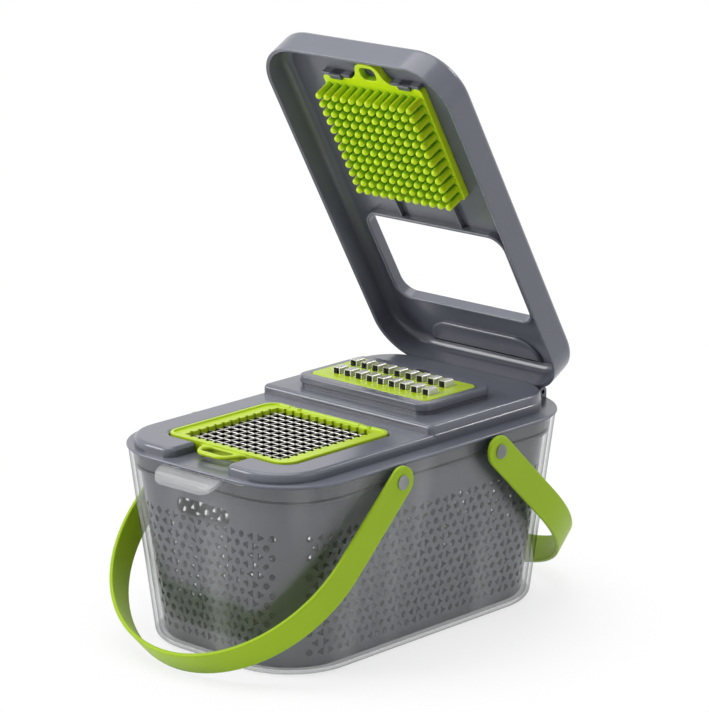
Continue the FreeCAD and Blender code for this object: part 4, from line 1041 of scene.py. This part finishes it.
class SLICER_OT_dicing_insert(bpy.types.Operator):
    """Build the dicing insert: the lime frame with its pull ring, and the crossed blades"""

    bl_idname = "slicer.dicing_insert"
    bl_label = "Dicing Insert"

    def execute(self, context):
        deck = context.scene.slicer_deck
        opening = node_box("dice_blades_lengthwise")[1].y - dice_centre()
        self.build_frame(deck, opening)
        self.build_blades(deck, opening)
        return {"FINISHED"}

    def build_frame(self, deck, opening):
        """Rim and sunk border round the comb of slots, and the pull ring."""
        low, high = node_box("dice_frame")
        corners = dice_corners(deck)
        border, edge_round = high.z - deck.dice_sink, 0.6 * MM
        layers = soft_sides(low.z, high.z, 0.0, edge_round)
        layers += [(deck.dice_rim, high.z), (deck.dice_rim + CRISP_EDGE, border)]
        comb = stack(self.comb_corners(deck, opening), [(0.0, low.z), (0.0, border)])
        bm = bmesh.new()
        pierced(bm, stack(self.notched_corners(deck, corners), layers), comb)
        self.add_pull_ring(bm, deck, low.y, corners[0][1], border)
        finish_mesh("dicing_frame", bm, "lime_moulding", "base", ["dice_frame"], sharp=38)

    def notched_corners(self, deck, corners):
        """The frame's outline with two shallow notches in its rear edge."""
        half, rear, deep = deck.dice_notch / 2, corners[2][1], 1.2 * MM
        notches = []
        for middle in (deck.dice_notch_place, -deck.dice_notch_place):
            for x, y in ((half, rear), (half, rear - deep), (-half, rear - deep), (-half, rear)):
                notches.append((middle + x, y, TIGHT_CORNER))
        return corners[:3] + notches + corners[3:]

    def comb_corners(self, deck, opening):
        """Square opening with a slot for each blade's end."""
        half, deep = deck.dice_slot / 2, opening + deck.dice_slot_depth
        side = [(-opening, -opening)]
        for x in row_places(deck.cell_count - 1, deck.cell_pitch):
            side += [(x - half, -opening), (x - half, -deep), (x + half, -deep), (x + half, -opening)]
        centre = dice_centre()
        corners = []
        for turn in range(4):
            spin = Matrix.Rotation(turn * math.pi / 2, 2)
            corners += [spin @ Vector(point) for point in side]
        return [(point.x, centre + point.y, 0) for point in corners]

    def add_pull_ring(self, bm, deck, tip, front, top):
        """Oval pull ring whose shoulders sweep out into the frame's front edge."""
        half, rim, reach = deck.ring_half_width, deck.ring_rim, front - tip
        tip_half, tip_round = half * 0.68, half * 0.62
        waist, waist_round = reach * 0.58, half * 0.55
        thick, soft, hole_gap, hole_round = 2.4 * MM, 1.1 * MM, 0.8 * MM, (reach - rim) * 0.44
        shoulder, shoulder_round, spread, overlap = 1.5 * MM, 4.5 * MM, 6.5 * MM, 1.2 * MM
        right = [
            (tip_half, tip, tip_round),
            (half, tip + waist, waist_round),
            (half + shoulder, front, shoulder_round),
            (half + spread, front, 0),
            (half + spread, front + overlap, 0),
        ]
        hole = rectangle(half - rim, tip + rim, front - hole_gap, hole_round)
        layers = soft_sides(top - thick, top, soft, soft)
        band = [(inset * 0.9, z) for inset, z in layers]
        pierced(bm, stack(right + mirrored(right), band, steps=10), stack(hole, widened(layers), steps=12))

    def build_blades(self, deck, reach):
        """Two crossing sets of strips with ground upper edges, the lengthwise set a little higher."""
        half, edge_half, ground, lower = deck.blade_thick / 2, 0.12 * MM, 0.5 * MM, 0.25 * MM
        centre = dice_centre()
        top = node_box("dice_blades_lengthwise")[1].z
        for direction, high in (("lengthwise", top), ("crosswise", top - lower)):
            node = f"dice_blades_{direction}"
            low = node_box(node)[0].z
            section = [(-half, low), (half, low), (half, high - ground)]
            section += [(edge_half, high), (-edge_half, high), (-half, high - ground)]
            bm = bmesh.new()
            for shift in row_places(deck.cell_count - 1, deck.cell_pitch):
                strip = [[(shift + t, end, z) for t, z in section] for end in (-reach, reach)]
                if direction == "crosswise":
                    strip = [[(y, x, z) for x, y, z in points] for points in strip]
                solid(bm, [[Vector((x, centre + y, z)) for x, y, z in points] for points in strip])
            name = f"blades_{direction}"
            finish_mesh(name, bm, "ground_blade_steel", "base", [node], sharp=20)


# Grating insert

def loop_places(deck):
    """Left, right, front and rear edge of every loop, row by row."""
    places = []
    for row, shift in enumerate((deck.loop_stagger, -deck.loop_stagger)):
        front = deck.first_loop + row * deck.loop_rows
        for middle in row_places(deck.loop_count, deck.loop_pitch):
            left = middle + shift - deck.loop_width / 2
            places.append((left, left + deck.loop_width, front, front + deck.loop_length))
    return places


def square_hole(left, right, front, rear, heights):
    """Rings of a hole with sharp corners."""
    corners = [(left, front, 0), (right, front, 0), (right, rear, 0), (left, rear, 0)]
    return stack(corners, [(0.0, z) for z in heights])


class SLICER_OT_grating_insert(bpy.types.Operator):
    """Build the grating insert: the lime plate with its slots, and the steel sheet with raised loops"""

    bl_idname = "slicer.grating_insert"
    bl_label = "Grating Insert"

    def execute(self, context):
        deck = context.scene.slicer_deck
        places = loop_places(deck)
        self.build_plate(deck, places)
        self.build_sheet(deck, places)
        return {"FINISHED"}

    def build_plate(self, deck, places):
        """Plate with a slot for each loop."""
        low, high = node_box("grater_frame")
        gap, edge_round = 0.25 * MM, 0.7 * MM
        slots = [
            square_hole(left - gap, right + gap, front - gap, rear + gap, (low.z, high.z))
            for left, right, front, rear in places
        ]
        layers = soft_sides(low.z, high.z, TIGHT_CORNER, edge_round)
        bm = bmesh.new()
        pierced(bm, stack(grater_corners(deck), layers), *slots)
        finish_mesh(
            "grating_plate", bm, "lime_moulding", "base", ["grater_frame"], sharp=38
        )

    def build_sheet(self, deck, places):
        """Steel sheet with an opening under each raised loop."""
        low, high = node_box("grater_blade")
        wall, thick, corner = deck.loop_wall, 0.6 * MM, 1.5 * MM
        heights = (low.z, low.z + thick)
        slots = [
            square_hole(left + wall, right - wall, front, rear, heights)
            for left, right, front, rear in places
        ]
        bm = bmesh.new()
        pierced(bm, stack(rectangle(high.x, low.y, high.y, corner), [(0.0, z) for z in heights]), *slots)
        for place in places:
            self.add_loop(bm, *place, low.z + thick / 2, high.z, wall)
        finish_mesh("grating_sheet", bm, "blade_steel", "base", ["grater_blade"], sharp=30)

    def add_loop(self, bm, left, right, front, rear, low, high, wall):
        """One raised loop: a bent strip, open at its front and closed down at its rear."""
        bend, flat_share, end_rise = 1.1 * MM, 0.72, 0.2
        arch = []
        for inset, radius in ((0.0, bend), (wall, bend - wall)):
            bends = [(left + inset + radius * u, high - inset - radius * v) for u, v in quarter_round(4)]
            side = [(left + inset, low)] + bends
            arch.append(side + [(left + right - x, z) for x, z in side[::-1]])
        section = arch[0] + arch[1][::-1]
        flat_end = front + (rear - front) * flat_share
        rings = [[Vector((x, y, z)) for x, z in section] for y in (front, flat_end)]
        rings.append([Vector((x, rear, low + (z - low) * end_rise)) for x, z in section])
        loops = loft(bm, rings)
        for loop in (loops[0], loops[-1]):
            for k in range(len(arch[0]) - 1):
                bm.faces.new((loop[k], loop[k + 1], loop[-2 - k], loop[-1 - k]))


# Flip lid

class SLICER_OT_lid(bpy.types.Operator):
    """Build the flip lid with its window, plate clips, ribs and hinge knuckles"""

    bl_idname = "slicer.lid"
    bl_label = "Flip Lid"

    def execute(self, context):
        lid, deck = context.scene.slicer_lid, context.scene.slicer_deck
        gap, ceiling = lid.window_gap, lid.depth - lid.drop - lid.roof
        window_front = deck.pedestal_front - lid.hinge_y - gap
        window_rear = deck.pedestal_rear - lid.hinge_y + gap
        window = rectangle(deck.pedestal_half_width + gap, window_front, window_rear, lid.window_corner)
        bm = bmesh.new()
        self.add_shell(bm, lid, window, ceiling)
        self.add_clips(bm, lid, ceiling)
        self.add_ribs(bm, lid, window_front, ceiling)
        self.add_panel(bm, lid, ceiling)
        self.add_knuckles(bm, lid)
        bmesh.ops.transform(bm, matrix=lid_place(lid), verts=bm.verts)
        finish_mesh("lid_shell", bm, "grey_moulding", "lid", ["flip_lid"], sharp=38)
        return {"FINISHED"}

    def add_shell(self, bm, lid, window, ceiling):
        """Walls and roof, with a lip round the window."""
        outer = rectangle(lid.half_width, -lid.reach, -lid.rear_gap, lid.corner)
        low, high, lip_low = -lid.drop, lid.depth - lid.drop, ceiling - lid.window_lip
        rim_round, inner_round, lip, window_round = 0.7 * MM, 6.0 * MM, 2.2 * MM, 0.8 * MM
        lip_round, edge_steps = lip * 0.45, 6
        walls = soft_sides(low, high, rim_round, lid.softness, edge_steps)
        opening = widened(soft_sides(lip_low, high, lip_round, window_round)[::-1])
        opening += [(inset - lip, z) for inset, z in soft_sides(lip_low, ceiling, lip_round, 0.0)]
        curve = quarter_round(edge_steps)
        inside = [(lid.wall + inner_round * v, ceiling - inner_round * u) for u, v in curve]
        inside.append((lid.wall, low + rim_round))
        rings = []
        for corners, layers in ((outer, walls), (window, opening), (outer, inside)):
            rings += stack(corners, layers, LARGE_CORNER_STEPS)
        loft(bm, rings, closed=True)

    def add_clips(self, bm, lid, ceiling):
        """Two rails, each with a hooked tongue that holds the pressing plate by its front edge."""
        front = press_centre(lid) - lid.plate_front - CLEARANCE
        hook_low = ceiling - lid.plate_thick - CLEARANCE
        hook, thick, soft, tip_soft = 1.6 * MM, 2.0 * MM, 0.5 * MM, 0.4 * MM
        tip_thick = hook * 0.6
        root, back, half = ceiling + ROOT, front - thick, lid.clip_half_width
        tongue = [
            (front, root, 0), (back, root, 0), (back, hook_low - hook, soft),
            (front + hook, hook_low - tip_thick, tip_soft), (front + hook, hook_low, TIGHT_CORNER),
            (front, hook_low, 0),
        ]
        rail = rectangle(lid.rail_half_width, back, front, soft)
        for middle in (-lid.clip_spread, lid.clip_spread):
            slab(bm, tongue, middle - half, middle + half, CRISP_EDGE, CRISP_EDGE, across, steps=3)
            slab(bm, shifted(rail, middle), hook_low, root, CRISP_EDGE, 0.0, steps=3)

    def add_ribs(self, bm, lid, window_front, ceiling):
        """Two thin ribs that run from the pressing plate to the window's lip."""
        plate_gap, lip_gap, half, soft, side_soft = 0.6 * MM, 1.6 * MM, 0.6 * MM, 0.4 * MM, 0.2 * MM
        front_deep, rear_deep = 3.6 * MM, 3.0 * MM
        start = press_centre(lid) + lid.plate_rear + plate_gap
        end = window_front - lip_gap
        rib = [
            (start, ceiling + ROOT, 0), (start, ceiling - front_deep, soft),
            (end, ceiling - rear_deep, soft), (end, ceiling + ROOT, 0),
        ]
        for middle in (-lid.rib_spread, lid.rib_spread):
            slab(bm, rib, middle - half, middle + half, side_soft, side_soft, across, steps=2)

    def add_panel(self, bm, lid, ceiling):
        """Low raised panel with an arched front, between the window and the hinge."""
        wall_gap, rear_round, deep, root, soft = 4.0 * MM, 2.0 * MM, 2.2 * MM, 0.8 * MM, 1.8 * MM
        rear = -lid.rear_gap - lid.wall - wall_gap
        panel = rectangle(lid.panel_half_width, rear - lid.panel_length, rear, lid.panel_arch, rear_round)
        slab(bm, panel, ceiling - deep, ceiling + root, soft, 0.0)

    def add_knuckles(self, bm, lid):
        """Two knuckles that turn on the hinge pins."""
        radius, width = lid.knuckle_radius, lid.knuckle_width
        root, rounding = -lid.rear_gap - lid.wall / 2, radius * FULL_ROUND
        knuckle = [
            (root, -radius, 0), (radius, -radius, rounding),
            (radius, radius, rounding), (root, radius, 0),
        ]
        for low in both_sides(lid.lug_outer - lid.lug_width - lid.knuckle_gap - width, width):
            slab(bm, knuckle, low, low + width, CRISP_EDGE, CRISP_EDGE, across)


class SLICER_OT_press_plate(bpy.types.Operator):
    """Build the pressing plate with its pull ring and one round pin for each cell"""

    bl_idname = "slicer.press_plate"
    bl_label = "Pressing Plate"

    def execute(self, context):
        lid, deck = context.scene.slicer_lid, context.scene.slicer_deck
        ceiling, centre = lid.depth - lid.drop - lid.roof, press_centre(lid)
        face = ceiling - lid.plate_thick
        front, rear = centre - lid.plate_front, centre + lid.plate_rear
        face_round, pin_root = 0.5 * MM, 0.5 * MM
        eye_half, eye_rim, eye_gap, eye_round = 6.0 * MM, 2.8 * MM, 1.0 * MM, 3.4 * MM
        eye = rectangle(eye_half, front - lid.plate_ring + eye_rim, front - eye_gap, eye_round)
        layers = soft_sides(face, ceiling, face_round, CRISP_EDGE)
        bm = bmesh.new()
        pierced(bm, stack(self.plate_corners(lid, front, rear), layers), stack(eye, widened(layers)))
        places = row_places(deck.cell_count, deck.cell_pitch)
        for x in places:
            for y in places:
                self.add_pin(bm, x, centre + y, face + pin_root, -lid.drop, lid.pin_radius)
        bmesh.ops.transform(bm, matrix=lid_place(lid), verts=bm.verts)
        # The plate's finish paints light on its lime and paints shade between its pins
        finish_mesh("press_plate_shell", bm, "press_lime", "lid", ["press_plate"], sharp=40)
        return {"FINISHED"}

    def plate_corners(self, lid, front, rear):
        """Plate with notches for the two tongues and shoulders that sweep up to the pull ring."""
        half, corner, tip = lid.plate_half_width, 3.0 * MM, front - lid.plate_ring
        notch_deep, notch_gap = 0.6 * MM, 0.6 * MM
        notch, notch_rear = lid.clip_half_width + notch_gap, front + notch_deep
        notch_left, notch_right = lid.clip_spread - notch, lid.clip_spread + notch
        ring_half, ring_round = 9.0 * MM, 7.5 * MM
        neck_half, neck_front, neck_round = 10.4 * MM, 4.0 * MM, 8.0 * MM
        shoulder_half, shoulder_round = 15.2 * MM, 4.5 * MM
        right = [
            (ring_half, tip, ring_round),
            (neck_half, front - neck_front, neck_round),
            (shoulder_half, front, shoulder_round),
            (notch_left, front, TIGHT_CORNER),
            (notch_left, notch_rear, TIGHT_CORNER),
            (notch_right, notch_rear, TIGHT_CORNER),
            (notch_right, front, TIGHT_CORNER),
            (half, front, corner),
            (half, rear, corner),
        ]
        return right + mirrored(right)

    def add_pin(self, bm, x, y, root, tip, radius):
        """A slightly tapered pin with a domed end."""
        end, flat_end = radius * 0.97, 0.16
        dome = end * 0.9
        profile = [(radius, root)]
        profile += [(end * (1 - u), tip + dome * v) for u, v in quarter_round(4)[:-1]]
        profile.append((end * flat_end, tip))
        turned(bm, [(r, -z) for r, z in profile], (x, y, 0), segments=14, direction=(0, 0, -1))


class SLICER_OT_hinge_pins(bpy.types.Operator):
    """Build the two pins of the lid hinge"""

    bl_idname = "slicer.hinge_pins"
    bl_label = "Hinge Pins"

    def execute(self, context):
        lid = context.scene.slicer_lid
        inner, outer, radius, bevel = inner_lug(lid), lid.lug_outer, lid.pin_size, CRISP_EDGE
        profile = [
            (radius - bevel, inner), (radius, inner + bevel),
            (radius, outer - bevel), (radius - bevel, outer),
        ]
        bm = bmesh.new()
        for side in (-1, 1):
            turned(bm, profile, (0, lid.hinge_y, lid.hinge_z), segments=24, direction=(side, 0, 0))
        finish_mesh(
            "hinge_pin_pair", bm, "hinge_pin_copper", "base", ["hinge_pins"], sharp=30
        )
        return {"FINISHED"}


# Straps and studs

class SLICER_OT_straps(bpy.types.Operator):
    """Build both carrying straps and the studs that hold them"""

    bl_idname = "slicer.straps"
    bl_label = "Carrying Straps"

    def execute(self, context):
        tub = context.scene.slicer_tub
        for name, side in (("front", -1), ("rear", 1)):
            pivot = Vector((0, side * tub.pivot_spread, pivot_height()))
            self.build_strap(tub, name, side, pivot)
            self.build_studs(tub, name, pivot)
        return {"FINISHED"}

    def strap_path(self, tub):
        """(place, outward direction, half width) along the band, from one rounded end to the other."""
        middle, half = tub.strap_inner + tub.strap_thick / 2, tub.strap_width / 2
        bow = tub.strap_reach - middle
        end_half, leg_steps, bow_steps = 0.6 * MM, 6, 48
        leg = [(half * (u - 1), max(half * (1 - v), end_half)) for u, v in quarter_round(8)]
        leg += [(bow * k / leg_steps, half) for k in range(1, leg_steps)]
        path = [(Vector((middle, along)), Vector((1, 0)), width) for along, width in leg]
        for k in range(bow_steps + 1):
            turn = math.pi * k / bow_steps
            out = Vector((math.cos(turn), math.sin(turn)))
            path.append((Vector((0, bow)) + out * middle, out, half))
        path += [(Vector((-middle, along)), Vector((-1, 0)), width) for along, width in leg[::-1]]
        return path

    def build_strap(self, tub, name, side, pivot):
        """Flat band with soft edges that hangs from its pivots."""
        thick, soft = tub.strap_thick / 2, 0.9 * MM
        rings = []
        for place, out, half in self.strap_path(tub):
            section = outline(rectangle(thick, -half, half, min(soft, half * 0.9)), steps=4)
            rings.append([
                Vector((place.x + out.x * p.x, side * (place.y + out.y * p.x), p.y)) for p in section
            ])
        bm = bmesh.new()
        solid(bm, rings)
        hang = Matrix.Translation(pivot) @ Matrix.Rotation(-side * tub.strap_hang, 4, "X")
        bmesh.ops.transform(bm, matrix=hang, verts=bm.verts)
        node = f"{name}_handle"
        finish_mesh(
            f"{name}_strap_band", bm, "strap_lime", f"{name}_strap", [node], sharp=45
        )

    def build_studs(self, tub, name, pivot):
        """Two studs with domed heads outside the strap."""
        node = f"{name}_handle_studs"
        radius, shank, depth, edge = tub.stud_radius, 3.2 * MM, 2.0 * MM, CRISP_EDGE
        head, end = tub.strap_inner + tub.strap_thick + edge, node_box(node)[1].x
        rise, dome_inset, flat_end = end - head - 2 * edge, 0.2 * MM, 0.5 * MM
        dome = radius - dome_inset - flat_end
        profile = [(shank, tub.boss_face - depth), (shank, head)]
        profile += [(radius - edge, head), (radius, head + edge)]
        profile += [(radius - dome_inset - dome * u, end - rise * v) for u, v in quarter_round(5)]
        bm = bmesh.new()
        for hand in (-1, 1):
            turned(bm, profile, pivot, segments=36, direction=(hand, 0, 0))
        finish_mesh(f"{name}_stud_pair", bm, "stud_clear", "base", [node], sharp=40)


# Stage

def seen_directly(tree):
    """1 for what the camera sees itself, in a reflection or through a clear piece."""
    path = tree.nodes.new("ShaderNodeLightPath")
    total = path.outputs["Is Camera Ray"]
    for kind in ("Is Glossy Ray", "Is Transmission Ray"):
        total = calculate(tree, "MAXIMUM", total, path.outputs[kind])
    return total


class SLICER_OT_stage(bpy.types.Operator):
    """Set the pale floor, the soft lights, the white surround and the camera"""

    bl_idname = "slicer.stage"
    bl_label = "Stage"

    def execute(self, context):
        self.lay_floor(context.scene)
        self.hang_lights(context.scene)
        self.paint_world(context.scene)
        self.place_camera(context.scene)
        context.scene.view_settings.view_transform = "Standard"
        return {"FINISHED"}

    def lay_floor(self, scene):
        """Pale floor that takes soft shadows near the tub and fades to white further out."""
        half_size, shadow_reach, shadow_end, near_glow = 6.0, 0.10, 0.20, 0.70
        bm = bmesh.new()
        bmesh.ops.create_grid(bm, x_segments=2, y_segments=2, size=half_size)
        mesh = bpy.data.meshes.new("floor")
        bm.to_mesh(mesh)
        bm.free()
        floor = bpy.data.objects.new("floor", mesh)
        scene.collection.objects.link(floor)
        material, tree, shader = new_material("studio_floor")
        cloud = noise(tree, scale=3.0)
        set_sockets(tree, shader, {
            "Base Color": shade_colour(tree, cloud, scene.slicer_colours.floor, spread=0.004),
            "Roughness": 0.9,
            "Specular IOR Level": 0.0,
        })
        glow = add_node(tree, "Emission", {"Strength": 1.0})
        far = add_node(tree, "VectorMath", {0: own_place(tree)}, operation="LENGTH")
        fade = remap(tree, far.outputs["Value"], shadow_reach, shadow_end, near_glow, 1.0, "SMOOTHSTEP")
        share = calculate(tree, "MULTIPLY", fade, seen_directly(tree))
        show(tree, mix_shaders(tree, share, shader.outputs["BSDF"], glow.outputs["Emission"]))
        mesh.materials.append(material)

    def hang_lights(self, scene):
        """Each lamp's name, place, aim, size and power."""
        lamps = (
            ("overhead_softbox", (-0.3, -0.2, 1.7), (0.0, 0.0, 0.12), 1.7, 24.0),
            ("key_softbox", (-1.4, -1.4, 0.8), (0.0, 0.0, 0.16), 0.9, 20.0),
            ("side_softbox", (1.9, 0.2, 0.8), (0.0, 0.0, 0.12), 1.0, 4.0),
            ("rear_softbox", (0.45, 1.6, 1.4), (0.0, 0.0, 0.12), 0.4, 7.0),
        )
        for name, place, aim, size, power in lamps:
            lamp = bpy.data.lights.new(name, "AREA")
            lamp.size = size
            lamp.energy = power
            holder = bpy.data.objects.new(name, lamp)
            holder.location = place
            holder.rotation_euler = (Vector(aim) - Vector(place)).to_track_quat("-Z", "Y").to_euler()
            scene.collection.objects.link(holder)

    def paint_world(self, scene):
        """Dim cool light from all round, seen as plain white."""
        world = bpy.data.worlds.new("studio_surround")
        world.use_nodes = True
        scene.world = world
        tree = world.node_tree
        tree.nodes.clear()
        soft = add_node(tree, "Background", {"Color": (0.92, 0.95, 1.0, 1.0), "Strength": 0.28})
        white = add_node(tree, "Background", {"Color": (1.0, 1.0, 1.0, 1.0), "Strength": 1.0})
        surround = mix_shaders(
            tree, seen_directly(tree), soft.outputs["Background"], white.outputs["Background"]
        )
        add_node(tree, "OutputWorld", {"Surface": surround})

    def place_camera(self, scene):
        """Camera at the photograph's place, from the fit to the photograph."""
        camera = bpy.data.cameras.new("photo_camera")
        camera.lens = 180.25
        camera.clip_end = 20.0
        holder = bpy.data.objects.new("photo_camera", camera)
        back = Vector((0.6589, -0.7073, 0.2559)).normalized()
        right = Vector((0.7317, 0.6816, 0.0)).normalized()
        upward = back.cross(right)
        place = Matrix((right, upward, back)).transposed().to_4x4()
        place.translation = (1.3866, -1.4806, 0.6959)
        holder.matrix_world = place
        scene.collection.objects.link(holder)
        scene.camera = holder


class SLICER_PT_pieces(bpy.types.Panel):
    """Lists the pieces of the slicer"""

    bl_label = "Mandoline Slicer"
    bl_idname = "SLICER_PT_pieces"
    bl_space_type = "VIEW_3D"
    bl_region_type = "UI"
    bl_category = "Slicer"

    def draw(self, context):
        for piece in PIECES:
            self.layout.operator(piece.bl_idname)


PIECES = (
    SLICER_OT_tub,
    SLICER_OT_basket,
    SLICER_OT_deck,
    SLICER_OT_dicing_insert,
    SLICER_OT_grating_insert,
    SLICER_OT_lid,
    SLICER_OT_press_plate,
    SLICER_OT_hinge_pins,
    SLICER_OT_straps,
    SLICER_OT_stage,
)
SETTINGS = {
    "slicer_tub": TubSizes,
    "slicer_deck": DeckSizes,
    "slicer_lid": LidSizes,
    "slicer_colours": SlicerColours,
}


def register():
    for kind in (*SETTINGS.values(), *PIECES, SLICER_PT_pieces):
        bpy.utils.register_class(kind)
    for name, kind in SETTINGS.items():
        setattr(bpy.types.Scene, name, bpy.props.PointerProperty(type=kind))


def unregister():
    for name in SETTINGS:
        delattr(bpy.types.Scene, name)
    for kind in (SLICER_PT_pieces, *PIECES[::-1], *SETTINGS.values()):
        bpy.utils.unregister_class(kind)


def main():
    register()
    for piece in PIECES:
        group, name = piece.bl_idname.split(".")
        getattr(getattr(bpy.ops, group), name)()


if __name__ == "__main__":
    main()
